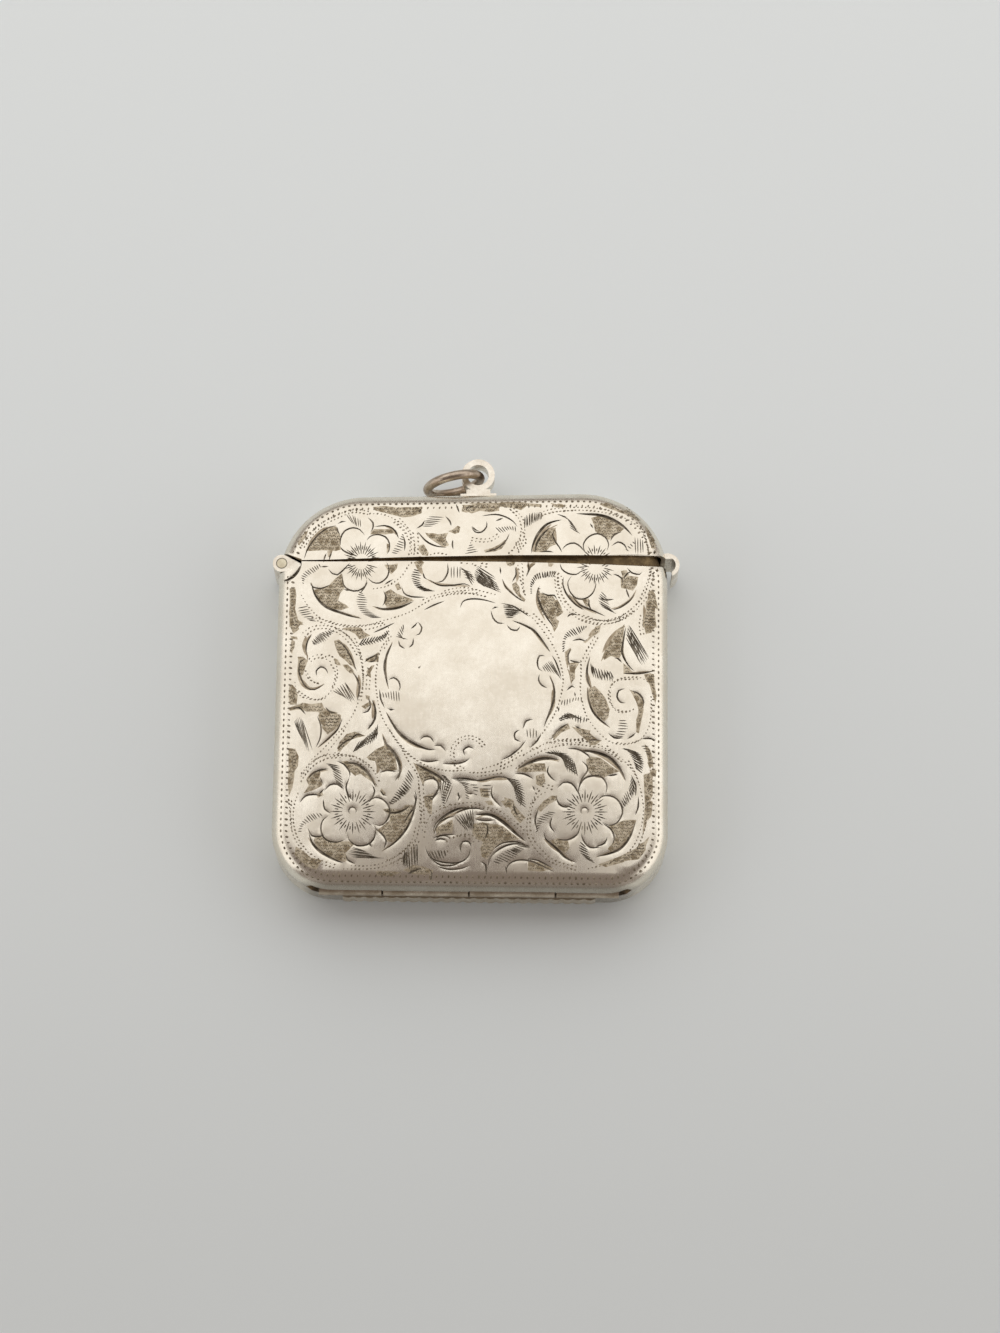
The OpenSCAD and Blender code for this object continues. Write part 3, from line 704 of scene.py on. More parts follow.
sheet.tone("""
400,195 470,250 540,340 595,410; 905,700 910,800 950,900 1010,970 1080,1020;
600,600 630,700 630,800 600,900 560,990; 1010,490 1060,380 1120,280 1200,210; 1180,300 1180,420 1220,520;
1200,590 1310,582 1430,570; 740,550 765,600 770,670
""")
print(len(patches), "patches with the sides")

# %% Ground, base
sheet = Tracing(278, 745, 8)
sheet.ground("""
110,60 140,70 155,130 150,180 120,210 105,150; 100,250 125,240 115,340 95,360;
230,280 300,220 340,205 330,260 350,320 300,350 240,370 210,380 250,320; 310,390 350,370 360,400 320,420;
520,140 560,135 620,160 680,200 740,260 790,330 760,300 700,260 660,230 620,245 580,210;
720,100 790,40 860,10 900,40 930,100 945,190 890,200 840,200 800,170 790,130 740,120;
830,350 860,385 840,400 815,370;
840,520 900,515 980,525 1010,490 1060,490 1080,520 1050,600 1000,690 930,760 870,760 850,710 800,680
850,640 900,600 890,560;
310,740 370,740 430,775 560,775 590,800 530,860 540,920 440,900 370,860 320,810 300,770;
150,820 200,850 260,900 340,920 300,990 240,970 190,930 140,880;
790,1010 880,1010 980,1020 900,1050 800,1040;
1090,150 1150,170 1220,220 1290,260 1300,300 1240,270 1160,270 1140,220;
1165,420 1240,410 1230,470 1230,550 1200,540 1190,470;
1300,680 1330,640 1390,600 1400,640 1390,700 1320,700; 1210,1010 1240,1000 1230,1080 1210,1070
""")
sheet.tone("""
690,190 740,250 790,330; 880,0 960,100 985,180 960,280; 1050,580 1010,680 940,770 830,850;
1245,700 1280,640 1370,570 1480,520 1560,505; 240,740 300,820 380,880 540,935; 230,270 290,220 400,200
""")
sheet = Tracing(470, 735, 8)
sheet.ground("""
380,290 440,250 500,230 590,230 600,290 530,290 450,295; 530,330 590,310 600,370 570,410 530,390;
940,200 970,180 1040,190 1110,240 1180,290 1110,310 1060,340 1000,330 960,300 940,250;
80,430 140,430 150,500 90,490; 120,530 170,525 190,560 150,560; 250,530 320,520 330,560 290,580;
350,560 400,620 440,660 400,700 360,660 330,620; 540,590 590,530 650,490 690,490 690,520 620,560 570,610;
1110,740 1180,710 1240,690 1320,690 1290,780 1250,830 1200,880 1140,930 1110,900 1150,850 1170,800;
650,850 700,830 780,850 790,900 760,940 700,900;
40,720 110,710 150,720 200,720 260,740 320,790 380,830 300,850 220,870 180,920 140,980 100,960 90,900
110,850 60,830 30,780; 1350,880 1390,860 1400,920 1350,990 1250,1000 1230,970 1310,930;
1430,350 1460,340 1460,450 1440,520 1425,440; 1420,220 1450,180 1460,240 1440,270;
470,1010 560,1020 660,1070 560,1090 470,1080; 950,50 1000,40 1050,45 1000,80 960,80
""")
sheet.tone("""
380,270 480,215 600,185 720,200; 860,115 960,130 1080,180 1180,250 1240,350;
590,830 650,890 740,950 820,1020; 40,670 140,635 240,660 330,740 430,850; 0,350 100,370 200,345 300,340;
1010,975 1120,940 1210,890 1300,780
""")
print(len(patches), "patches of ground and", len(shades), "soft shades")

# %% [markdown]
# ## A closer look
# The first drawing still looked bare. Finer leaves, more rows of dots and more dark ground
# lie between the large figures. A picture laid over the face would bring them all at once, but flat, so they
# are read as before, on enlargements that overlap the first ones.

# %% Finer strokes, base
sheet = Tracing(380, 770, 8)
sheet.cut("""
650,660 640,610 660,575 700,568 735,592;
722,620 715,670 690,710 640,738 580,746 500,738 430,718 395,688 370,640 360,600;
445,555 470,532 520,525 565,550; 428,520 460,440 520,392 600,368; 600,350 640,330 700,310 780,308 845,325;
280,160 290,230 270,300 230,360 190,430; 340,95 380,75 430,70 470,110 478,170;
380,215 415,235 440,205 470,180; 620,180 635,220 620,250; 690,190 760,190; 760,395 840,405 920,400;
820,430 855,440 860,500 835,560; 390,790 415,830 405,890; 220,830 270,805 320,798; 800,730 845,760 850,840;
460,770 540,795 640,790 730,760
""")
sheet.dots("""
590,540 640,522 700,520 755,535 790,570; 535,570 545,610 540,650; 420,400 470,365 530,330 600,300;
480,290 520,300 560,275; 310,110 320,200 318,300 330,400 340,480; 345,120 350,220 350,330 355,420;
60,720 130,690 190,650 240,600 280,560; 90,745 160,715 220,675 270,625 310,575;
700,300 760,275 830,290 900,310; 110,760 190,720 250,660
""")
sheet.hatch("600,375 640,345 690,320 740,315", "700,490 720,480 740,470 750,440", 10)
sheet.hatch("400,640 430,640 470,640 510,650", "450,720 480,725 505,715 525,690", 10, HEAVY)
sheet.hatch("200,640 230,620 260,610 290,610", "190,770 220,785 255,780 300,760", 9, HEAVY)
sheet.hatch("70,255 110,215 160,170 210,110", "100,270 150,250 200,210 250,150", 15, HEAVY)
sheet.hatch("490,40 520,60 560,90 580,130", "480,200 495,230 505,260 520,280", 9)
sheet = Tracing(275, 720, 8)
sheet.hatch("625,258 665,235 710,205 760,195 810,150", "680,165 715,150 750,115 790,85 822,35", 15, HEAVY)
sheet.cut("""
500,240 530,200 570,170 640,145; 740,70 780,30 800,0; 340,600 370,575 400,545;
260,480 300,430 350,405 420,398
""")
sheet.tone("""
130,240 150,320 138,420 132,500 112,600; 800,310 830,370 815,430; 600,340 650,380 700,410 790,480
""", width=0.5)
sheet.dots("""
210,450 250,400 300,340 350,300 420,270; 480,262 540,272 600,282 650,302 700,330 750,375;
110,640 120,720 130,800 135,880
""")
print(len(strokes), "strokes after a closer look at the base")

# %% Finer strokes, sides
sheet = Tracing(275, 605, 8)
sheet.tone("""
190,440 192,540 215,620 270,670 340,668; 250,250 232,320 245,400; 490,285 560,330 610,420 640,510
""", width=0.45)
sheet.tone("""
670,560 672,640 655,740; 790,760 790,840 780,910; 120,20 135,90 180,130; 140,640 150,710 170,780
""", width=0.5)
sheet.tone("110,840 180,820 270,815 370,805; 540,190 620,195 690,215 740,245", width=0.55)
sheet.dots("""
300,100 400,120 500,150 600,165 720,160 860,145; 290,450 330,425 390,425 440,450;
450,480 480,530 480,590 460,650; 700,500 705,580 700,660; 640,270 670,340 685,420; 250,560 280,600 340,625
""")
sheet.hatch("300,300 330,250 380,215 440,205", "320,320 370,300 410,270 480,215", 13)
sheet.hatch("500,660 530,635 560,620", "570,750 610,770 640,740", 9, HEAVY)
sheet.hatch("670,310 740,285 800,270 850,240 890,205", "700,325 770,318 830,300 870,285 905,235", 16, HEAVY)
sheet = Tracing(570, 605, 8)
sheet.hatch("448,260 455,190 475,165", "575,480 605,470 628,415", 9, HEAVY)
sheet.hatch("165,470 200,500 260,515 320,530", "190,580 240,600 290,600 350,590", 13, HEAVY)
sheet.tone("""
440,170 380,210 310,290 260,380; 130,520 145,600 170,670; 520,700 570,760 560,850 545,910
""", width=0.5)
sheet.tone("""
590,0 600,90 585,180; 640,580 660,650 680,740; 140,660 160,780 210,880; 150,250 190,210 230,180
""", width=0.45)
sheet.dots("""
330,640 380,605 450,595 540,592; 320,700 325,760 345,820 400,860 480,850; 590,90 580,160 590,230;
100,120 200,140 300,150 380,130 440,100 500,50; 110,85 200,115 300,125 380,110 430,75
""")
sheet = Tracing(470, 690, 8)
sheet.hatch("600,500 660,480 710,485 760,510 800,540 830,570",
            "720,520 760,560 770,590 770,630 790,660 860,690", 17, HEAVY)
sheet.hatch("290,700 340,715 380,750 410,800 420,850", "330,740 350,790 360,830 370,880 400,930", 15, HEAVY)
sheet.hatch("715,240 740,205 780,180", "740,245 840,225 900,240", 10, HEAVY)
sheet.tone("""
380,640 470,580 560,550 640,548 710,570; 660,0 665,100 640,200; 100,720 200,705 300,715
""", width=0.5)
sheet.dots("""
0,660 80,662 160,652 240,635 330,605; 60,690 150,680 250,665; 640,420 720,430 800,425 880,420;
540,790 520,850 500,900; 560,700 600,750 660,770; 430,520 480,490 540,465; 640,390 720,400 800,400 900,390;
520,880 560,840 600,820
""")
sheet = Tracing(570, 720, 8)
sheet.hatch("430,225 470,260 500,320 520,370", "560,290 590,330 590,380 575,425", 14, HEAVY)
sheet.hatch("500,520 480,570 440,630 410,680", "525,560 500,620 470,670 430,705", 13)
sheet.tone("""
130,245 220,270 310,320 400,400 440,480; 640,420 650,480; 630,510 640,560 638,610; 620,610 625,700 615,780
""", width=0.5)
sheet.dots("""
200,210 260,230 310,260 360,290 410,330; 300,210 340,250 380,270; 380,180 440,190 500,180 560,160;
470,330 520,420 550,500
""")
print(len(strokes), "strokes with the sides")

# %% Finer strokes, top
sheet = Tracing(385, 492, 8)
sheet.dots("""
225,330 235,400 235,490; 262,335 266,400 262,490; 120,215 160,260 200,310; 80,240 130,280 170,330;
205,340 210,420 212,490; 360,560 420,545 500,560 580,565 700,575; 480,790 560,770 650,765 760,790 880,820;
500,820 600,800 700,815 800,835
""")
sheet.hatch("600,600 620,620 650,660", "720,690 720,710 700,745", 8, HEAVY)
sheet.hatch("730,600 715,650 725,700", "900,740 915,790 800,760", 10, HEAVY)
sheet.hatch("530,600 560,595 600,600", "530,690 560,690 600,690", 6)
sheet.tone("""
120,130 200,140 290,135; 240,565 270,600 300,660; 330,340 400,350 480,400; 300,440 320,490
""", width=0.55)
sheet.cut("""
600,930 620,880 660,860 720,855 800,865 890,890; 310,945 390,905 480,870; 640,150 660,130 720,110
""")
sheet = Tracing(495, 492, 8)
sheet.dots("""
215,300 235,350 250,400 220,440 190,480; 170,410 140,470; 205,320 200,400 180,450;
215,560 222,640 225,740 240,820; 510,650 540,700 530,800 560,880; 380,190 440,170 520,155 620,150;
500,660 500,720 510,800; 60,110 120,140 170,190
""")
sheet.hatch("240,200 260,180 300,165 370,165", "238,290 270,280 310,245 365,225", 11, HEAVY)
sheet.hatch("300,720 310,670 350,645 420,630 480,630", "310,740 330,705 370,690 420,685 470,660", 14, HEAVY)
sheet.tone("""
300,480 330,400 380,320 450,260; 480,300 475,350 490,400; 0,100 120,100 250,105 340,115; 480,110 560,118
""", width=0.5)
sheet.tone("""
350,780 345,850 350,930; 170,600 180,660 175,720; 270,560 265,620; 590,820 640,880 700,940
""", width=0.4)
print(len(strokes), "strokes and", len(dot_rows), "rows of dots with the top")

# %% Last patches and rows
sheet = Tracing(280, 600, 4.5)
sheet.ground("""
48,100 70,105 85,130 60,150 50,125; 50,190 62,205 55,240 45,230;
175,495 230,505 270,520 262,565 215,600 190,570 200,540 180,520;
270,640 300,605 345,600 330,620 300,650 262,680;
610,745 660,755 700,775 720,810 700,790 660,800 645,830 630,790; 650,885 690,870 680,940 655,930;
560,1215 600,1195 640,1200 680,1215 660,1235 600,1232; 700,1030 730,1010 765,1020 740,1040 712,1060
""")
sheet = Tracing(470, 600, 4.2857)
sheet.ground("""
440,545 500,560 545,600 510,610 475,580; 150,850 185,860 200,900 230,930 215,940 190,915 160,880;
745,760 775,750 770,850 755,960 740,1000 750,880;
560,1130 640,1100 720,1060 760,1020 740,1075 660,1120 590,1140
""")
sheet.cut("""
75,1150 90,1100 140,1060 200,1045 260,1065; 150,1165 170,1130 210,1115 260,1120 320,1145 360,1165
""")
sheet.hatch("100,1120 120,1095 150,1075 180,1065", "130,1130 155,1115 185,1100 220,1080", 9)
sheet = Tracing(385, 492, 8)
sheet.ground("""
630,110 700,110 800,105 900,110 900,150 830,160 760,150 700,170 650,150;
330,330 400,345 440,340 500,330 480,370 500,430 440,420 390,390 350,360
""")
sheet = Tracing(580, 492, 8)
sheet.ground("520,260 560,330 580,400 570,410 540,350 525,300")
sheet.dots("""
250,170 330,200 400,240 460,280 500,330 530,400 550,480; 560,640 545,700 520,760 490,830 450,900
""")
sheet = Tracing(275, 605, 8)
sheet.ground("120,640 145,650 175,720 170,790 120,790 110,720; 390,820 420,840 500,860 450,870 400,860")
sheet.dots("""
490,190 540,215 590,250 620,290 650,340 670,390 690,450 700,520 705,600 700,680 690,760;
160,620 170,680 210,730 270,750 340,760 400,745
""")
sheet = Tracing(570, 605, 8)
sheet.ground("600,570 640,575 670,560 675,640 690,720 680,780 655,700 640,640 610,600")
sheet = Tracing(275, 720, 8)
sheet.ground("110,240 160,245 185,300 180,370 150,420 130,520 115,590 105,500 110,400")
sheet.dots("""
210,490 240,440 280,390 330,350 390,320 450,290 520,285 600,290; 580,30 540,100 480,180 430,240
""")
sheet = Tracing(570, 720, 8)
sheet.ground("""
640,400 690,400 685,450 645,450; 610,510 660,505 660,600 640,640 620,600;
620,640 660,660 650,760 620,800 610,720; 600,200 640,240 660,300 665,380 630,340 610,260
""")
sheet = Tracing(470, 690, 8)
sheet.dots("500,470 560,450 620,420 700,410 800,410 900,400")
print(len(strokes), "strokes and", len(patches), "patches in the whole drawing")

# %% [markdown]
# ## Double rows
# Most stems carry two rows of dots side by side. The second could be read from the photo too, but a copy of
# the first, moved sideways, keeps the even distance of a practised hand. It leaves out the places where
# something is punched already. The patches of ground also grow a little here, to reach the leaves' edges.

# %% Rows beside rows
ROWS_APART = 0.37
ROW_CLEAR = 0.3
ROW_BREAK = 0.6
LONG_ROW = 8
FEW_POINTS = 5
GROUND_GROWTH = 1.1


def beside(row, taken):
    """A second row on the more crowded side of a row, where nothing is punched yet."""
    step = np.gradient(row, axis=0)
    step /= np.linalg.norm(step, axis=1)[:, None]
    across = np.column_stack([-step[:, 1], step[:, 0]]) * ROWS_APART
    tries = [row + across, row - across]
    gaps = [np.linalg.norm(at[:, None] - taken[None], axis=2).min(1) for at in tries]
    side = 0 if gaps[0].mean() < gaps[1].mean() else 1
    return tries[side][gaps[side] > ROW_CLEAR]


for row in list(dot_rows):
    if len(row) > LONG_ROW:
        extra = beside(row, np.vstack(dot_rows))
        if len(extra) > FEW_POINTS and np.linalg.norm(np.diff(extra, axis=0), axis=1).max() < ROW_BREAK:
            dot_rows.append(extra)
patches = [patch.mean(0) + GROUND_GROWTH * (patch - patch.mean(0)) for patch in patches]
print(len(dot_rows), "rows of dots with those beside them")

# %% [markdown]
# ## The ground
# Between the figures the engraver darkens the ground with a wriggling tool, which leaves rows of tiny
# zigzag cuts. They fill each patch here by a loop, with a fixed seed for the unevenness of a hand.

# %% Wriggled ground
ROW_STEP = 0.36
ZIG_STEP = 0.24
ZIG_WIDTH = 0.1
ZIG_LEAN = (0.1, 0.17)
ZIG_REACH = (0.12, 0.18)
SHAKE = 0.05
hand = np.random.default_rng(7)


def inside(points, polygon):
    """True for each point that lies inside a closed polygon."""
    x, y = points[:, 0], points[:, 1]
    found = np.zeros(len(points), bool)
    for (x0, y0), (x1, y1) in zip(polygon, np.roll(polygon, -1, axis=0)):
        if y0 != y1:
            found ^= ((y0 > y) != (y1 > y)) & (x < x0 + (y - y0) * (x1 - x0) / (y1 - y0))
    return found


def wriggle(polygon):
    """Fills a patch with rows of short cuts that lean to and fro."""
    low, high = polygon.min(0), polygon.max(0)
    rows = np.arange(low[1], high[1], ROW_STEP)
    for k, y in enumerate(rows):
        x = np.arange(low[0] + ZIG_STEP * (k % 2) / 2, high[0], ZIG_STEP)
        middle = np.column_stack([x, np.full_like(x, y)]) + hand.uniform(-SHAKE, SHAKE, (len(x), 2))
        lean = hand.uniform(*ZIG_LEAN, len(x)) * np.where(np.arange(len(x)) % 2, 1, -1)
        reach = np.column_stack([lean, hand.uniform(*ZIG_REACH, len(x))])
        whole = inside(middle - reach, polygon) & inside(middle + reach, polygon)
        for m, r in zip(middle[whole], reach[whole]):
            strokes.append((np.array([m - r, m, m + r]), ZIG_WIDTH / 2 * np.array([0, 1, 0])))


drawn = len(strokes)
for patch in patches:
    wriggle(patch)
print(len(strokes) - drawn, "wriggle cuts in", len(patches), "patches")

# %% [markdown]
# ## Cutting the lines into the sheet
# A boolean with thousands of small cutters would never finish. Instead the face is triangulated once in plan,
# with both edges and the middle of every stroke as fixed lines, and each point is then lowered by the depth
# of the strokes over it. That gives true V-shaped cuts on a closed sheet.

# %% Cut depth
CELL = 1.0
MIRROR = (-1, 1)


class CutDepth:
    """How deep the strokes lie below the sheet at any place. A grid of cells keeps the search short."""

    def __init__(self, lines):
        self.a = np.vstack([path[:-1] for path, _ in lines])
        self.b = np.vstack([path[1:] for path, _ in lines])
        self.ha = np.concatenate([half[:-1] for _, half in lines])
        self.hb = np.concatenate([half[1:] for _, half in lines])
        reach = np.maximum(self.ha, self.hb)[:, None]
        low = np.floor((np.minimum(self.a, self.b) - reach) / CELL).astype(int)
        high = np.floor((np.maximum(self.a, self.b) + reach) / CELL).astype(int)
        self.cells = {}
        for k, ((x0, y0), (x1, y1)) in enumerate(zip(low, high)):
            for cell in [(i, j) for i in range(x0, x1 + 1) for j in range(y0, y1 + 1)]:
                self.cells.setdefault(cell, []).append(k)

    def __call__(self, points):
        depth = np.zeros(len(points))
        keys = np.floor(points / CELL).astype(int)
        cells, where = np.unique(keys, axis=0, return_inverse=True)
        where = where.ravel()
        order = np.argsort(where, kind="stable")
        starts = np.searchsorted(where[order], np.arange(len(cells) + 1))
        for k, cell in enumerate(map(tuple, cells)):
            near = self.cells.get(cell)
            if near:
                own = order[starts[k]:starts[k + 1]]
                depth[own] = self.deepest(points[own], np.array(near))
        return depth

    def deepest(self, points, near):
        """Depth at points of one cell, from the strokes that reach it."""
        a, along = self.a[near], self.b[near] - self.a[near]
        length = np.maximum((along ** 2).sum(1), 1e-12)
        t = np.clip(((points[:, None] - a) * along).sum(2) / length, 0, 1)
        away = np.linalg.norm(points[:, None] - a - t[..., None] * along, axis=2)
        half = self.ha[near] + t * (self.hb[near] - self.ha[near])
        return np.maximum(CUT_SLOPE * (half - away), 0).max(1)


front_cuts = CutDepth(strokes)
back_strokes = [(path * MIRROR, half) for path, half in strokes]
back_patches = [patch * MIRROR for patch in patches]
back_shades = [shade * MIRROR for shade in shades]
back_cuts = CutDepth(back_strokes)
print(len(front_cuts.a), "straight bits of stroke in", len(front_cuts.cells), "cells")

# %% Triangulated face
GRID = 0.8
GRID_START = 0.7
GRID_END = 0.5
BORDER_CLEAR = 0.66
MERGE = 1e-5
POLISHED, CUT, GROUND, INNER, RIM, SHADE_BAND_KIND = range(6)


def runs(kept):
    """Stretches of two or more neighbouring points that are all kept."""
    breaks = np.flatnonzero(np.diff(kept.astype(int))) + 1
    return [run for run in np.split(np.arange(len(kept)), breaks) if len(run) > 1 and kept[run[0]]]


def triangulate(outline, lines, closed_lines, loose=()):
    """Triangles inside a closed outline that keep every given line as an edge."""
    points, edges = [], []

    def add(line, closed):
        first = len(points)
        points.extend(Vector(p) for p in line)
        edges.extend((first + k, first + k + 1) for k in range(len(line) - 1))
        if closed:
            edges.append((first + len(line) - 1, first))

    add(outline, True)
    low, high = outline.min(0), outline.max(0)
    for closed, group in ((False, lines), (True, closed_lines)):
        for line in group:
            if line[:, 1].max() > low[1] and line[:, 1].min() < high[1]:
                kept = inset(line[:, 0], line[:, 1]) > BORDER_CLEAR
                if kept.all():
                    add(line, closed)
                    continue
                for run in runs(kept):
                    add(line[run], False)
    ticks = [np.arange(low[k] + GRID_START, high[k] - GRID_END, GRID) for k in (0, 1)]
    grid = np.stack(np.meshgrid(*ticks), -1).reshape(-1, 2)
    points.extend(Vector(p) for p in grid[inside(grid, outline)])
    for line in loose:
        points.extend(Vector(p) for p in line[inside(line, outline)])
    found, _, faces, *_ = delaunay_2d_cdt(points, edges, [], 0, MERGE)
    found = np.array([tuple(p) for p in found])
    faces = np.array(faces)
    return found, faces[inside(found[faces].mean(1), outline)]


print("the face is triangulated on a grid of", GRID, "mm")

# %% [markdown]
# ## The three shells
# Lid, front cover and back are raised from sheet of about half a millimetre, so each is a closed skin with an
# outside, a gilt inside and a narrow rim where the sheet ends. The flat of the outside is the triangulated
# face. The rounded edge and the wall go round as columns, which stop at the seams and clear of the hinges.

# %% Outline and profiles
EDGE_FROM = 0.6
EDGE_START = math.acos(1 - EDGE_FROM / EDGE_R)
INNER_R = EDGE_R - WALL
INNER_FROM = WALL + INNER_R * (1 - math.cos(EDGE_START))
LID_GROOVE_R = 1.19
LID_GROOVE_Z = 0.9
BASE_SNUG_R = 0.955
BASE_CLEAR_R = 1.11
BASE_CLEAR_X = 18.4
KNUCKLE_ENDS = (-17, -9.8, 0, 9.8, 17)
CORNER_STEPS = 19
SIDE_STEPS = 13
BASE_STEPS = 17
STEP_GAP = 0.02
LID_NOTCH = ((0.4635, 1.087), (2.36, 0.16))
CASE_NOTCH = ((0.515, 1.087), (2.36, 0.572))
corner_y = half_h - CORNER_R


def side_x(y, d):
    """Distance of the side from the middle line at a height y, a distance d inside the outline."""
    r = TOP_R if y > 0 else CORNER_R
    past = max(abs(y) - (half_h - r), 0)
    return half_w - r + math.sqrt(max((r - d) ** 2 - past ** 2, 0))


def side_place(y):
    """A place on the right side of the outline with its outward direction."""
    r = TOP_R if y > 0 else CORNER_R
    up = max(abs(y) - (half_h - r), 0) / r
    return side_x(y, 0), y, math.sqrt(1 - up * up), math.copysign(up, y)


def notch_y(x, sign):
    """Half height of the clearance round the lid's hinge, x to the right of its pin."""
    (x0, y0), (x1, y1) = LID_NOTCH if sign > 0 else CASE_NOTCH
    if x < x0:
        return math.sqrt(LID_GROOVE_R ** 2 - x * x)
    return y0 + (x - x0) * (y1 - y0) / (x1 - x0)


def left_end(d, z, sign):
    """Where the sheet ends beside the lid's hinge, a distance d inside the outline."""
    y = seam_y + sign * GAP / 2
    if z > LID_GROOVE_Z:
        for _ in range(6):
            y = seam_y + sign * notch_y(-side_x(y, d) - lid_axis.x, sign)
    return -side_x(y, d), y


def notch_path(d, sign):
    """The edge of the face from the left end round the hinge and along the seam to the right end."""
    x, y = left_end(d, case_t, sign)
    web = LID_NOTCH if sign > 0 else CASE_NOTCH
    seam = seam_y + sign * GAP / 2
    points = [(x, y)]
    points += [(lid_axis.x + a, seam_y + sign * b) for a, b in web if lid_axis.x + a > x + 0.05]
    points += [(lid_axis.x + web[1][0], seam), (side_x(seam, d), seam)]
    return np.array(points)


def outline_columns(sign):
    """Places round the outline from the right end of the seam to its left end, with the outward direction."""
    start = seam_y + sign * GAP / 2
    r = TOP_R if sign > 0 else CORNER_R
    cx, cy = half_w - r, half_h - r
    if sign > 0:
        half = []
        angles = np.linspace(math.asin((start - cy) / r), math.pi / 2, CORNER_STEPS)
    else:
        side = [start, start - 0.7, half_h - TOP_R]
        half = [side_place(y) for y in side + list(np.linspace(side[-1], -cy, SIDE_STEPS)[1:-1])]
        angles = np.linspace(0, math.pi / 2, CORNER_STEPS)
    half += [(cx + r * math.cos(a), sign * (cy + r * math.sin(a)), math.cos(a), sign * math.sin(a))
             for a in angles]
    steps = [e + s for e in KNUCKLE_ENDS[1:4] for s in (-STEP_GAP, STEP_GAP)] if sign < 0 else []
    flat = set(np.round(np.linspace(-cx, cx, BASE_STEPS)[1:-1], 3)) - {0.0} | set(steps)
    flat = sorted(flat, reverse=True)
    left = [(-x, y, -nx, ny) for x, y, nx, ny in reversed(half)]
    left = [c for c in left if sign * (c[1] - seam_y) > LID_GROOVE_R + 0.12]
    return half + [(x, sign * half_h, 0.0, float(sign)) for x in flat] + left


def edge_profile(z_end, count, inner):
    """Points down the rounded edge and the wall: distance inside the outline, height and slope."""
    wall = WALL if inner else 0
    r = EDGE_R - wall
    z_end = min(z_end, wall_top + r * math.sin(EDGE_START) - 0.02)
    stop = math.asin(min(max((z_end - wall_top) / r, 0), 1))
    arc = r * (EDGE_START - stop)
    length = arc + max(wall_top - z_end, 0)
    rows = []
    for s in np.linspace(0, length, count):
        a = EDGE_START - min(s, arc) / r
        rows.append((wall + r * (1 - math.cos(a)), wall_top + r * math.sin(a) - max(s - arc, 0), a))
    return rows


def inner_z(x, y):
    """Height of the inside of the front."""
    drop = INNER_R - np.sqrt(INNER_R ** 2 - (INNER_R - np.clip(inset(x, y) - WALL, 0, INNER_R)) ** 2)
    return front_z(x, y) + edge_drop(inset(x, y)) - WALL - drop


def inner_back_z(x, y):
    """Height of the inside of the back."""
    return case_t - CROWN - (inner_z(x, y) - (front_z(x, y) + edge_drop(inset(x, y)) - face_z))


print(len(outline_columns(1)), "columns round the lid,", len(outline_columns(-1)), "round the case")

# %% Shell class
WELD = 0.002


def run_length(points):
    """Distance along a row of points, from its first to each of them."""
    return np.concatenate([[0], np.cumsum(np.linalg.norm(np.diff(points, axis=0), axis=1))])


class Shell:
    """A closed sheet-metal skin: its points, which way each shines, its faces and what each face is."""

    def __init__(self):
        self.points, self.normals, self.faces, self.kinds, self.count = [], [], [], [], 0

    def add(self, points, normals):
        """Takes in points with their directions and gives back their numbers."""
        points = np.asarray(points, float)
        self.points.append(points)
        self.normals.append(np.asarray(normals, float))
        self.count += len(points)
        return np.arange(self.count - len(points), self.count)

    def faces_of(self, faces, kinds):
        self.faces.extend(tuple(int(k) for k in f) for f in faces)
        self.kinds.extend(kinds)

    def columns(self, rows, kind):
        """Four-sided faces between neighbouring columns of points."""
        for a, b in zip(rows, rows[1:]):
            faces = [(a[k], b[k], b[k + 1], a[k + 1]) for k in range(len(a) - 1)]
            self.faces_of(faces, [kind] * len(faces))

    def close_rim(self, a, b):
        """Closes the rim between two rows of points that run the same way."""
        places = np.vstack(self.points)
        ta, tb = (run_length(places[row]) / run_length(places[row])[-1] for row in (a, b))
        i = j = 0
        while i < len(a) - 1 or j < len(b) - 1:
            if j == len(b) - 1 or (i < len(a) - 1 and ta[i + 1] <= tb[j + 1]):
                self.faces_of([(a[i], a[i + 1], b[j])], [RIM])
                i += 1
            else:
                self.faces_of([(a[i], b[j + 1], b[j])], [RIM])
                j += 1

    def mesh(self, name, materials, turn=0.0):
        """Joins equal points and makes the object, with its own direction of shine at each corner."""
        points, normals = np.vstack(self.points), np.vstack(self.normals)
        _, keep, same = np.unique(np.round(points / WELD).astype(np.int64), axis=0,
                                  return_index=True, return_inverse=True)
        same = same.ravel()
        points, normals = lid_turn(points[keep], turn), normals[keep]
        faces, kinds = [], []
        for face, kind in zip(self.faces, self.kinds):
            corners = list(dict.fromkeys(int(same[k]) for k in face))
            if len(corners) > 2:
                faces.append(corners)
                kinds.append(kind)
        used = np.unique(np.concatenate(faces))
        new = np.full(len(points), -1)
        new[used] = np.arange(len(used))
        points, normals = points[used], normals[used]
        if turn:
            normals = lid_turn(normals + np.array(lid_axis), turn) - np.array(lid_axis)
        mesh = bpy.data.meshes.new(name)
        mesh.from_pydata((points * MM).tolist(), [], [[int(new[k]) for k in f] for f in faces])
        for material in materials:
            mesh.materials.append(material)
        mesh.polygons.foreach_set("material_index", kinds)
        work = bmesh.new()
        work.from_mesh(mesh)
        bmesh.ops.recalc_face_normals(work, faces=work.faces)
        open_edges = sum(1 for e in work.edges if len(e.link_faces) != 2)
        work.to_mesh(mesh)
        work.free()
        mesh.polygons.foreach_set("use_smooth", [True] * len(mesh.polygons))
        corners = []
        for face in mesh.polygons:
            flat = face.material_index in (CUT, RIM)
            corners.extend(face.normal if flat else normals[k] for k in face.vertices)
        mesh.normals_split_custom_set([tuple(n) for n in corners])
        print(name, len(mesh.polygons), "faces,", open_edges, "edges not shared by two faces")
        return add_object(name, mesh)


print("points closer than", WELD, "mm are joined")

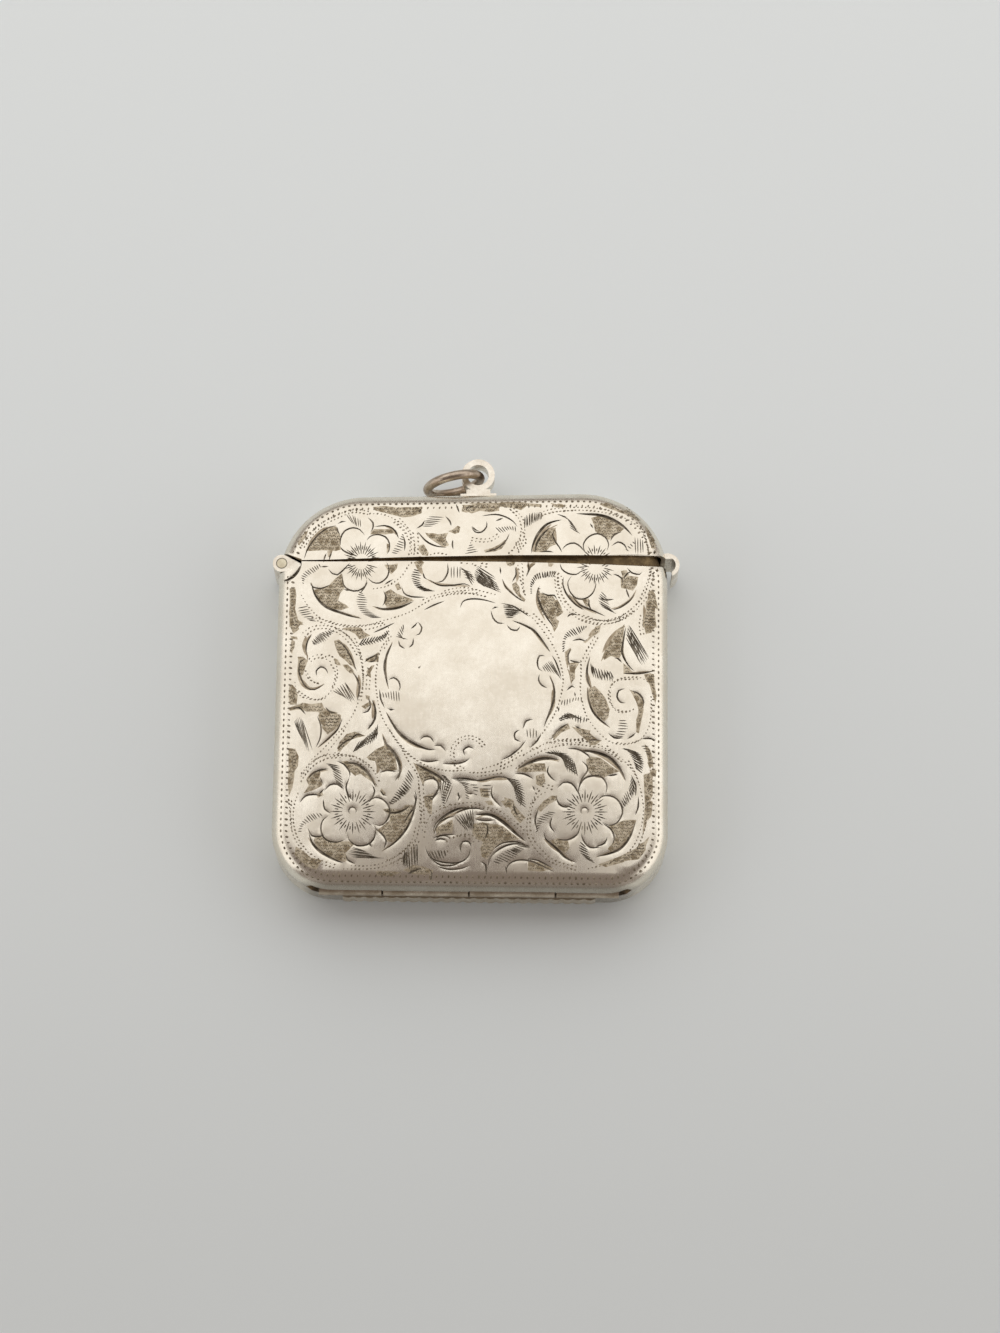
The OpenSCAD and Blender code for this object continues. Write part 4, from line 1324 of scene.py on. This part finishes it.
# %% Faces and walls
SHOULDER = 1.5
SHOULDER_HALF = 0.08
SHOULDER_STEP = 0.08
SHOULDER_WIDE = 0.36
SHOULDER_NEAR = 0.03
SHOULDER_FAR = 0.9
SHOULDER_LINE = 0.3
SHALLOW = 0.004
ON_PATH = 0.004


def slopes(flat, height, side):
    """Outward direction of a surface given by its height."""
    e = 0.002
    x, y = flat[:, 0], flat[:, 1]
    gx = (height(x + e, y) - height(x - e, y)) / (2 * e)
    gy = (height(x, y + e) - height(x, y - e)) / (2 * e)
    n = np.column_stack([-gx * side, -gy * side, np.full_like(gx, side)])
    return n / np.linalg.norm(n, axis=1)[:, None]


def plain_face(shell, outline, height, side):
    """Adds the smooth inside of a face."""
    flat, faces = triangulate(outline, [], [])
    index = shell.add(np.column_stack([flat, height(flat[:, 0], flat[:, 1])]), slopes(flat, height, side))
    shell.faces_of(index[faces], [INNER] * len(faces))
    return flat, index


def shoulders(flat, normals, lines):
    """Leans the metal beside the larger cuts towards them, as rubbed edges do."""
    at, wide = [], []
    for path, half in lines:
        if half.max() > SHOULDER_HALF:
            run = run_length(path)
            t = np.arange(0, run[-1], SHOULDER_STEP)
            at.append(np.column_stack([np.interp(t, run, path[:, k]) for k in (0, 1)]))
            wide.append(np.interp(t, run, half))
    at, wide = np.vstack(at), np.concatenate(wide)
    tree = KDTree(len(at))
    for k, (x, y) in enumerate(at):
        tree.insert((x, y, 0), k)
    tree.balance()
    for k, (x, y) in enumerate(flat):
        _, near, d = tree.find((x, y, 0))
        if SHOULDER_NEAR < d < SHOULDER_FAR:
            lean = SHOULDER * wide[near] * math.exp(-(d / SHOULDER_WIDE) ** 2)
            normals[k, :2] += lean * (at[near] - (x, y)) / d
    return normals / np.linalg.norm(normals, axis=1)[:, None]


def engraved_face(shell, outline, lines, grounds, shade_bands, cuts, height, shine, side):
    """Adds the outside of a face with its cuts, its dark ground and its bands of painted shade."""
    edges = [edge for path, half in lines for edge in stroke_edges(path, half)]
    loose = [edge for path, half in lines if half.max() > SHOULDER_HALF
             for edge in stroke_edges(path, half + SHOULDER_LINE)[::2]]
    flat, faces = triangulate(outline, edges, grounds + shade_bands, loose)
    z = height(flat[:, 0], flat[:, 1]) - side * cuts(flat)
    index = shell.add(np.column_stack([flat, z]), shoulders(flat, slopes(flat, shine, side), lines))
    middle = flat[faces].mean(1)
    kinds = np.where(cuts(middle) > SHALLOW, CUT, POLISHED)
    for kind, polygons in ((GROUND, grounds), (SHADE_BAND_KIND, shade_bands)):
        for polygon in polygons:
            kinds[(kinds == POLISHED) & inside(middle, polygon)] = kind
    shell.faces_of(index[faces], kinds.tolist())
    return flat, index


def along_path(flat, index, path):
    """The points of a face that lie on a path, in order along it."""
    best = np.full(len(flat), np.inf)
    run = np.zeros(len(flat))
    start = 0.0
    for a, b in zip(path, path[1:]):
        ab = b - a
        length = np.linalg.norm(ab)
        t = np.clip((flat - a) @ ab / length ** 2, 0, 1)
        away = np.linalg.norm(flat - a - t[:, None] * ab, axis=1)
        closer = away < best
        best[closer] = away[closer]
        run[closer] = start + t[closer] * length
        start += length
    found = np.flatnonzero(best < ON_PATH)
    return index[found[np.argsort(run[found], kind="stable")]]


def flip(rows):
    """The same edge on the back, where heights count down from the face."""
    return [(d, face_z - z, -a) for d, z, a in rows]


def wall_columns(shell, sign, profile, inner):
    """Adds the columns of one wall, from the seam's right end to the last one beside the lid's hinge."""
    rows = []
    facing = -1 if inner else 1
    for k, (x, y, nx, ny) in enumerate(outline_columns(sign)):
        steps = profile(x, y)
        points = [(x - nx * d, y - ny * d, z) for d, z, _ in steps]
        if k == 0:
            points = [(side_x(y, d), y, z) for d, z, _ in steps]
        shine = [(nx * math.cos(a) * facing, ny * math.cos(a) * facing, math.sin(a) * facing)
                 for _, _, a in steps]
        rows.append(shell.add(points, shine))
    steps = profile(-half_w, seam_y)
    points = [(*left_end(d, z, sign), z) for d, z, _ in steps]
    shine = [(-math.cos(a) * facing, 0, math.sin(a) * facing) for _, _, a in steps]
    rows.append(shell.add(points, shine))
    shell.columns(rows, INNER if inner else POLISHED)
    return rows


print("shoulders lean beside cuts wider than", 2 * SHOULDER_HALF, "mm")

# %% [markdown]
# ## Metals
# All of the case is silver, but no two surfaces of it look alike: the face is satin from a century of
# pockets, the cuts hold dark polish residue, the ground is brown, the inside is gilt. Each finish mixes a
# bright and a dull colour by noise, and lets the same noise roughen the metal, so that a stain is also matt.

# %% Shader tools


class Shade:
    """A socket of a node tree that takes part in sums like a number."""

    def __init__(self, tree, socket=None):
        self.tree, self.socket = tree, socket

    def node(self, kind, settings=None, values=None, out=0):
        """A new node of any kind, with its settings first and then the values or links of its sockets."""
        made = self.tree.nodes.new(kind)
        for name, value in (settings or {}).items():
            setattr(made, name, value)
        for name, value in (values or {}).items():
            if isinstance(value, Shade):
                self.tree.links.new(value.socket, made.inputs[name])
            else:
                made.inputs[name].default_value = value
        return Shade(self.tree, made.outputs[out])

    def math(self, operation, a, b):
        return self.node("ShaderNodeMath", {"operation": operation}, {0: a, 1: b})

    def __add__(self, other):
        return self.math("ADD", self, other)

    def __sub__(self, other):
        return self.math("SUBTRACT", self, other)

    def __rsub__(self, other):
        return self.math("SUBTRACT", other, self)

    def __mul__(self, other):
        return self.math("MULTIPLY", self, other)

    __radd__ = __add__
    __rmul__ = __mul__

    def between(self, low, high):
        """0 below low, 1 above high, and a straight line between."""
        return self.node("ShaderNodeMapRange", {}, {"Value": self, "From Min": low, "From Max": high})

    def blend(self, first, second):
        """From the first colour at 0 to the second at 1."""
        return self.node("ShaderNodeMix", {"data_type": "RGBA"}, {0: self, 6: first, 7: second}, out=2)


def rgb(r, g, b):
    return (r, g, b, 1.0)


# The near-black colour of painted shade, blended into a metal where shade falls in gaps and creases.
PAINTED_SHADE_COLOUR = rgb(0.06, 0.038, 0.02)


def metal(name, bright, dull, stain, roughness, grain, bump, mottle=0.22, cells=0, shade_mask=None):
    """A metal with clouds of stain, a fine grain and hairline scratches, in object coordinates."""
    material = bpy.data.materials.new(name)
    material.use_nodes = True
    tree = material.node_tree
    tree.nodes.clear()
    start = Shade(tree)
    place = start.node("ShaderNodeTexCoord", out=3)
    clouds = start.node("ShaderNodeTexNoise", {}, {"Vector": place, "Scale": grain, "Detail": 5,
                                                   "Roughness": 0.62})
    fine = start.node("ShaderNodeTexNoise", {}, {"Vector": place, "Scale": grain * 9, "Detail": 4,
                                                 "Roughness": 0.7})
    pulled = start.node("ShaderNodeMapping", {}, {"Vector": place, "Rotation": (0.1, 0.2, 0.6),
                                                  "Scale": (1.0, 0.07, 0.3)})
    hairs = start.node("ShaderNodeTexNoise", {}, {"Vector": pulled, "Scale": grain * 30, "Detail": 3})
    mask = (clouds * 0.7 + fine * 0.3).between(0.5 - stain * 0.3, 0.78 - stain * 0.3)
    if cells:
        edge = start.node("ShaderNodeTexVoronoi", {"feature": "DISTANCE_TO_EDGE"},
                          {"Vector": place, "Scale": cells})
        mask = mask * (0.5 + 0.5 * edge.between(0.0, 0.2))
    colour = mask.blend(bright, dull)
    # Where a shade mask is given, painted shade darkens the colour there.
    if shade_mask:
        colour = shade_mask(start, place).blend(colour, PAINTED_SHADE_COLOUR)
    rough = roughness + (mask - 0.3) * mottle + (hairs - 0.5) * 0.12
    height = fine * 0.5 + hairs * 0.5
    normal = start.node("ShaderNodeBump", {}, {"Height": height, "Strength": 1.0, "Distance": bump * MM})
    surface = start.node("ShaderNodeBsdfPrincipled", {}, {"Base Color": colour, "Metallic": 1.0,
                                                          "Roughness": rough, "Normal": normal})
    tree.links.new(surface.socket, tree.nodes.new("ShaderNodeOutputMaterial").inputs["Surface"])
    return material


# The colour of the painted shade in gaps and creases.
print("dirt in a joint has the colour", PAINTED_SHADE_COLOUR[:3])

# %% Painted shade in the hinge gaps, round the pin and above the base hinge
GAP_SHADE_HALF = 0.11
BASE_SHADE_SPAN = (-22.2, -22.9)
BASE_SHADE_SHARE = 0.55
PIN_SHADE_RADII = (0.5, 0.58)
PIN_SHADE_SHARE = 0.75


def axis(start, place, number):
    """One of the three object coordinates."""
    return start.node("ShaderNodeSeparateXYZ", {}, {0: place}, out=number)


def knuckle_gap_shade(start, place):
    """Painted shade in the gaps between the knuckles of the base hinge."""
    x = axis(start, place, 0)
    near = [start.node("ShaderNodeMath", {"operation": "COMPARE"}, {0: x, 1: e * MM, 2: GAP_SHADE_HALF * MM})
            for e in KNUCKLE_ENDS[1:4]]
    return near[0] + near[1] + near[2]


def base_edge_shade(start, place):
    """Painted shade on the lowest strip of the face, in the crease above the base hinge."""
    low, high = BASE_SHADE_SPAN
    return axis(start, place, 1).between(low * MM, high * MM) * BASE_SHADE_SHARE


def pin_gap_shade(start, place):
    """Painted shade in a ring round the riveted end of the lid's hinge pin."""
    x = axis(start, place, 0) - lid_axis.x * MM
    y = axis(start, place, 1) - lid_axis.y * MM
    low, high = PIN_SHADE_RADII
    return (x * x + y * y).between((low * MM) ** 2, (high * MM) ** 2) * PIN_SHADE_SHARE


# Three masks of painted shade.
print("three kinds of dirt")

# %% Metals
# Each takes its bright and dull colours, the share of stain, the roughness, the grain and the bumps' height.
# The face gets painted shade on its lowest strip, above the base hinge.
face_silver = metal("engraved_silver", rgb(0.88, 0.835, 0.73), rgb(0.77, 0.71, 0.595), 0.5, 0.25, 260, 0.003,
                    mottle=0.1, shade_mask=base_edge_shade)
cut_silver = metal("cut_lines", rgb(0.34, 0.295, 0.23), rgb(0.085, 0.07, 0.05), 0.75, 0.34, 900, 0.006)
ground_silver = metal("wriggled_ground", rgb(0.78, 0.7, 0.55), rgb(0.3, 0.24, 0.155), 0.8, 0.4, 1500, 0.03,
                      cells=1100)
# Painted shade: the colour of the bands beside stems, which stand in for their rounding.
shade_band_silver = metal("painted_shade_bands", rgb(0.64, 0.56, 0.43), rgb(0.36, 0.29, 0.2), 0.65, 0.36, 1200, 0.008)
punch_silver = metal("punch_marks", rgb(0.44, 0.38, 0.29), rgb(0.19, 0.155, 0.11), 0.7, 0.4, 900, 0.006)
gilt = metal("gilt_silver", rgb(0.88, 0.66, 0.32), rgb(0.5, 0.34, 0.15), 0.6, 0.28, 300, 0.004)
# The collar's gilt is worn, and darkened further as painted shade, since it shows only through the narrow
# seam.
collar_gilt_shaded = metal("worn_gilt_painted_shade", rgb(0.4, 0.29, 0.145), rgb(0.14, 0.1, 0.055), 0.75, 0.4, 500, 0.006)
rim_silver = metal("rim_silver", rgb(0.75, 0.68, 0.55), rgb(0.4, 0.32, 0.22), 0.6, 0.3, 400, 0.004)
bright_silver = metal("polished_silver", rgb(0.88, 0.84, 0.745), rgb(0.7, 0.63, 0.52), 0.5, 0.22, 420, 0.001)
# The pin gets painted shade in a ring round its riveted end.
nickel = metal("nickel_pin", rgb(0.8, 0.75, 0.58), rgb(0.6, 0.53, 0.39), 0.6, 0.32, 600, 0.004,
               shade_mask=pin_gap_shade)
# The hinge barrel gets painted shade at the gaps between its knuckles.
barrel_silver = metal("hinge_barrel", rgb(0.7, 0.63, 0.52), rgb(0.36, 0.29, 0.21), 0.7, 0.26, 500, 0.004,
                      shade_mask=knuckle_gap_shade)
striker_silver = metal("striker_silver", rgb(0.8, 0.75, 0.65), rgb(0.52, 0.45, 0.35), 0.7, 0.3, 600, 0.004)
spring_steel = metal("spring_steel", rgb(0.4, 0.42, 0.46), rgb(0.2, 0.16, 0.12), 0.6, 0.34, 500, 0.005)
tarnished = metal("tarnished_silver", rgb(0.78, 0.69, 0.57), rgb(0.36, 0.28, 0.21), 0.75, 0.22, 500, 0.003)
sheet_finishes = [face_silver, cut_silver, ground_silver, gilt, rim_silver, shade_band_silver]
print(len(bpy.data.materials), "materials in the file")

# %% [markdown]
# ## Building the shells
# The cover's and the back's walls stop at the split between them and curve over the base hinge: close round
# the knuckles that are soldered to them, clear of the others.

# %% Shells
OUTER_SET = 0.05
COVER_ROWS = 10
CASE_ROWS = 12
LID_ROWS = 11
knuckles = list(zip(KNUCKLE_ENDS, KNUCKLE_ENDS[1:]))
front_work = (strokes, patches, shades, front_cuts, front_z, shine_z, 1)
back_work = (back_strokes, back_patches, back_shades, back_cuts, back_z, back_z, -1)


def base_end(x, y, side, inner):
    """Height at which the wall ends: at the split, or at the clearance of the base hinge."""
    end = GAP / 2
    if y < -corner_y and abs(x) < BASE_CLEAR_X:
        own = knuckles[1::2] if side > 0 else knuckles[::2]
        r = BASE_SNUG_R if any(a < x < b for a, b in own) else BASE_CLEAR_R
        facing = min(1.0, max(0.0, abs(y) - corner_y) / CORNER_R)
        away = y + (WALL if inner else OUTER_SET) * facing - base_axis.y
        if abs(away) < r:
            end = max(end, math.sqrt(r * r - away * away))
    return split_z + side * end


def face_outline(sign, d, notched):
    """A closed line round a face, and the part of it that lies at the seam."""
    ring = [(x - nx * d, y - ny * d) for x, y, nx, ny in outline_columns(sign)]
    seam = seam_y + sign * GAP / 2
    ring[0] = (side_x(seam, d), seam)
    path = notch_path(d, sign) if notched else np.array([(-ring[0][0], seam), ring[0]])
    return np.vstack([ring, path[:-1]]), path


def cover_profile(inner):
    return lambda x, y: edge_profile(base_end(x, y, 1, inner), COVER_ROWS, inner)


def case_profile(inner):
    return lambda x, y: flip(edge_profile(face_z - base_end(x, y, -1, inner), CASE_ROWS, inner))


def lid_profile(inner):
    half = edge_profile(face_z / 2, LID_ROWS, inner)
    whole = half + flip(half)[::-1][1:]
    return lambda x, y: whole


def build_shell(sign, profile, front, back):
    """One shell on its side of the seam, with the faces that it has."""
    shell = Shell()
    edges = []
    for inner in (False, True):
        d = INNER_FROM if inner else EDGE_FROM
        rows = wall_columns(shell, sign, profile(inner), inner)
        sections = [rows[0], rows[-1]]
        for side, wanted in ((1, front), (-1, back)):
            if not wanted:
                continue
            outline, path = face_outline(sign, d, side > 0)
            if inner:
                height = inner_z if side > 0 else inner_back_z
                flat, index = plain_face(shell, outline, height, -side)
            else:
                flat, index = engraved_face(shell, outline, *(front_work if side > 0 else back_work))
            sections.append(along_path(flat, index, path))
        if not (front and back):
            sections.append(np.array([row[-1] for row in rows]))
        edges.append(sections)
    for outer, inner in zip(*edges):
        shell.close_rim(outer, inner)
    return shell


cover = build_shell(-1, cover_profile, True, False).mesh("front_cover_engraved", sheet_finishes)
back = build_shell(-1, case_profile, False, True).mesh("back_shell_engraved", sheet_finishes)
lid = build_shell(1, lid_profile, True, True).mesh("lid_shell_engraved", sheet_finishes, lid_ajar)
for piece, body, node in ((cover, "cover", "front_cover"), (back, "case", "back_shell"),
                          (lid, "lid", "lid_shell")):
    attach(piece, body)
    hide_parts(node)

# %% [markdown]
# ## Punched rows
# A beaded row runs round each face, a row of ticks inside it, and fine dots follow both sides of every stem.
# On the real case one punch was struck again and again along a line, which is what Geometry Nodes does well:
# the line is resampled at the punch's step, and one small mark is set on every point, square to the surface.

# %% Punch node tree
PUNCH_SINK = 0.35
MARK_SIDES = 8
MARK_TOP = 0.55
LEAN_SEED = 3
SIZE_SEED = 4


def punch_tree():
    """A node tree that sets marks along the edges of a mesh. Its inputs are named in the interface."""
    tree = bpy.data.node_groups.new("punched_row", "GeometryNodeTree")
    sizes = ("Step", "Length", "Width", "Height", "Lean", "Uneven")
    tree.interface.new_socket("Geometry", in_out="INPUT", socket_type="NodeSocketGeometry")
    for name in sizes:
        tree.interface.new_socket(name, in_out="INPUT", socket_type="NodeSocketFloat")
    tree.interface.new_socket("Finish", in_out="INPUT", socket_type="NodeSocketMaterial")
    tree.interface.new_socket("Geometry", in_out="OUTPUT", socket_type="NodeSocketGeometry")
    group = tree.nodes.new("NodeGroupInput").outputs
    given = {name: Shade(tree, group[name]) for name in ("Geometry", "Finish", *sizes)}
    node = Shade(tree).node
    lines = node("GeometryNodeMeshToCurve", {}, {"Mesh": given["Geometry"]})
    steps = node("GeometryNodeResampleCurve", {"mode": "LENGTH"}, {"Curve": lines, "Length": given["Step"]})
    mark = node("GeometryNodeMeshCone", {}, {"Vertices": MARK_SIDES, "Radius Top": MARK_TOP,
                                             "Radius Bottom": 1, "Depth": 1})
    lower = node("GeometryNodeTransform", {}, {"Geometry": mark, "Translation": (0, 0, -PUNCH_SINK)})
    up = node("GeometryNodeInputNamedAttribute", {"data_type": "FLOAT_VECTOR"}, {"Name": "up"}, "Attribute")
    stand = node("FunctionNodeAlignRotationToVector", {"axis": "Z"}, {"Vector": up})
    follow = node("FunctionNodeAlignRotationToVector", {"axis": "X", "pivot_axis": "Z"},
                  {"Rotation": stand, "Vector": node("GeometryNodeInputTangent")})
    chance = []
    for seed, middle in ((LEAN_SEED, given["Lean"]), (SIZE_SEED, 1)):
        draw = node("FunctionNodeRandomValue", {"data_type": "FLOAT"}, {2: -1, 3: 1, "Seed": seed}, 1)
        chance.append(node("ShaderNodeMath", {"operation": "MULTIPLY_ADD"},
                           {0: draw, 1: given["Uneven"], 2: middle}))
    lean = node("FunctionNodeAxisAngleToRotation", {}, {"Axis": (0, 0, 1), "Angle": chance[0]})
    leaned = node("FunctionNodeRotateRotation", {"rotation_space": "LOCAL"},
                  {"Rotation": follow, "Rotate By": lean})
    size = node("ShaderNodeCombineXYZ", {}, {"X": given["Length"], "Y": given["Width"], "Z": given["Height"]})
    sized = node("ShaderNodeVectorMath", {"operation": "SCALE"}, {0: size, "Scale": chance[1]})
    struck = node("GeometryNodeInstanceOnPoints", {}, {"Points": steps, "Instance": lower, "Rotation": leaned,
                                                       "Scale": sized})
    real = node("GeometryNodeRealizeInstances", {}, {"Geometry": struck})
    finish = node("GeometryNodeSetMaterial", {}, {"Geometry": real, "Material": given["Finish"]})
    tree.links.new(finish.socket, tree.nodes.new("NodeGroupOutput").inputs["Geometry"])
    return tree


punched_row = punch_tree()


def follow_rows(name, rows, ups, settings):
    """Sets marks along rows of points and gives back a plain mesh object."""
    points, edges = [], []
    for row in rows:
        first = len(points)
        points.extend(tuple(p * MM) for p in row)
        edges.extend((first + k, first + k + 1) for k in range(len(row) - 1))
    lines = bpy.data.meshes.new(name + "_lines")
    lines.from_pydata(points, edges, [])
    up = lines.attributes.new("up", "FLOAT_VECTOR", "POINT")
    up.data.foreach_set("vector", np.vstack(ups).ravel())
    guide = add_object(name + "_lines", lines)
    nodes = guide.modifiers.new("punch", "NODES")
    nodes.node_group = punched_row
    inputs = [item for item in punched_row.interface.items_tree if item.in_out == "INPUT"]
    named = {item.name: item.identifier for item in inputs}
    for key, value in settings.items():
        nodes[named[key]] = value
    ready = guide.evaluated_get(bpy.context.evaluated_depsgraph_get())
    mesh = bpy.data.meshes.new_from_object(ready)
    mesh.name = name
    guide.modifiers.remove(nodes)
    bpy.data.objects.remove(guide)
    return add_object(name, mesh)


print("the punch has", len(punched_row.nodes), "nodes")

# %% Rows on the faces
BEAD_SIDE = 1.1
BEAD_END = 0.8
BEAD_TOP = 1.35
TICK_IN = 0.62
SEAM_CLEAR = 0.25


def punch(step, length, width, height, lean, uneven):
    """The inputs of the node tree for one punch, in metres and radians."""
    return {"Step": step * MM, "Length": length * MM, "Width": width * MM, "Height": height * MM,
            "Lean": lean, "Uneven": uneven, "Finish": punch_silver}


BEAD = punch(0.68, 0.17, 0.12, 0.05, 0.0, 0.12)
TICK = punch(0.68, 0.19, 0.11, 0.05, 1.3, 0.25)
DOT = punch(0.43, 0.14, 0.095, 0.045, 0.5, 0.3)


def border(sign, more):
    """A row round a face, closer to the outline at the base and further from it at the top."""
    ring = []
    for x, y, nx, ny in outline_columns(sign):
        d = more + BEAD_SIDE * nx * nx + (BEAD_TOP if ny > 0 else BEAD_END) * ny * ny
        ring.append((x - nx * d, y - ny * d))
    return smooth(np.array(ring), CURVE_STEP)


def face_rows(name, sign, flat_rows, height, side, turn, settings, body):
    """Marks along rows on one face, split at the seam."""
    rows, ups = [], []
    for row in flat_rows:
        for part in runs(sign * (row[:, 1] - seam_y) > SEAM_CLEAR):
            flat = row[part]
            up = slopes(flat, height, side)
            points = np.column_stack([flat, height(flat[:, 0], flat[:, 1])])
            rows.append(lid_turn(points, turn))
            ups.append(lid_turn(up + np.array(lid_axis), turn) - np.array(lid_axis))
    made = follow_rows(name, rows, ups, settings)
    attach(made, body)
    return len(made.data.polygons)


marks = 0
back_dots = [row * MIRROR for row in dot_rows]
for part, sign, dots, height, side, turn, body in (
        ("cover", -1, dot_rows, front_z, 1, 0.0, "cover"),
        ("lid", 1, dot_rows, front_z, 1, lid_ajar, "lid"),
        ("back", -1, back_dots, back_z, -1, 0.0, "case"),
        ("lid_back", 1, back_dots, back_z, -1, lid_ajar, "lid")):
    for row_name, flat_rows, settings in (("beads", [border(sign, 0.0)], BEAD),
                                          ("ticks", [border(sign, TICK_IN)], TICK), ("dots", dots, DOT)):
        marks += face_rows(row_name + "_" + part, sign, flat_rows, height, side, turn, settings, body)
print(marks, "faces of punched marks")

# %% [markdown]
# ## Pieces that keep their solid
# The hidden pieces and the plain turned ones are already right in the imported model. They could be modelled
# again here, but that would only add faces, so they keep their solids and get their metal.

# %% Plain pieces
finishes = {"mouth_collar": collar_gilt_shaded, "partition_plate": gilt, "cover_rim_strips": gilt,
            "base_hinge_pin": spring_steel, "lid_hinge_pin": nickel, "lid_spring": spring_steel,
            "striker_strip": striker_silver, "base_hinge_case_knuckles": barrel_silver,
            "base_hinge_cover_knuckles": barrel_silver, "lid_hinge_case_knuckles": bright_silver,
            "lid_hinge_knuckle": bright_silver, "thumb_piece": bright_silver, "loop_foot": bright_silver,
            "suspension_loop": bright_silver, "jump_ring": tarnished}
for name, finish in finishes.items():
    for place in frame["nodes"][name].material_slots:
        place.material = finish
print(len(finishes), "solids have their metal")

# %% [markdown]
# ## Floor and light
# The photo was taken on pale grey card in a light tent. One large soft light stands behind the case, and its
# lower edge ends nearly overhead, so the upper front mirrors it and the lower front mirrors the dim room. Two
# more light the sides, and a faint one the base. The card's colour is painted a shade darker towards the
# camera: painted shade where less light reaches.

# %% Floor
FLOOR_HALF = 1.2
CARD_NEAR = -0.06
CARD_FAR = 0.03
floor_mesh = bpy.data.meshes.new("floor")
corners = [(x * FLOOR_HALF, y * FLOOR_HALF, cad_box[0].z) for x, y in ((-1, -1), (1, -1), (1, 1), (-1, 1))]
floor_mesh.from_pydata(corners, [], [(0, 1, 2, 3)])
card = bpy.data.materials.new("card")
card.use_nodes = True
start = Shade(card.node_tree)
depth = axis(start, start.node("ShaderNodeTexCoord", out=3), 1)
# Painted shade: the card's colour darkens towards the camera, where less light reaches.
card_painted_shade = depth.between(CARD_NEAR, CARD_FAR).blend(rgb(0.78, 0.825, 0.83), rgb(0.85, 0.9, 0.91))
paper = card.node_tree.nodes["Principled BSDF"].inputs
card.node_tree.links.new(card_painted_shade.socket, paper["Base Color"])
paper["Roughness"].default_value = 0.9
paper["Specular IOR Level"].default_value = 0.1
floor_mesh.materials.append(card)
floor = add_object("floor", floor_mesh)
print("floor at", round(cad_box[0].z / MM, 3), "mm")

# %% Lights
TENT = (1.0, 1.0, 0.99)


def softbox(name, lean, bearing, distance, width, height, radiance, colour=TENT):
    """A large soft light aimed at the case, leaning from the vertical towards a bearing."""
    data = bpy.data.lights.new(name, "AREA")
    data.shape = "RECTANGLE"
    data.size, data.size_y = width * MM, height * MM
    data.energy = radiance * math.pi * data.size * data.size_y
    data.color = colour
    light = add_object(name, data)
    a, b = math.radians(lean), math.radians(bearing)
    way = Vector((math.sin(a) * math.cos(b), math.sin(a) * math.sin(b), math.cos(a)))
    light.location = way * distance * MM
    light.rotation_euler = way.to_track_quat("Z", "Y").to_euler()


softbox("tent_back", 37.8, 90, 360, 690, 485, 0.93)
softbox("tent_left", 66, 185, 520, 700, 420, 0.95)
softbox("tent_right", 66, -5, 520, 700, 420, 1.0)
softbox("tent_front", 74, -90, 560, 800, 220, 0.12, (1.0, 0.99, 0.97))
world = bpy.data.worlds.new("room")
world.use_nodes = True
room = world.node_tree.nodes["Background"].inputs
room["Color"].default_value = rgb(0.36, 0.295, 0.262)
room["Strength"].default_value = 0.58
bpy.context.scene.world = world
bpy.context.scene.view_settings.view_transform = "Standard"
print(len(bpy.data.lights), "lights in the file")
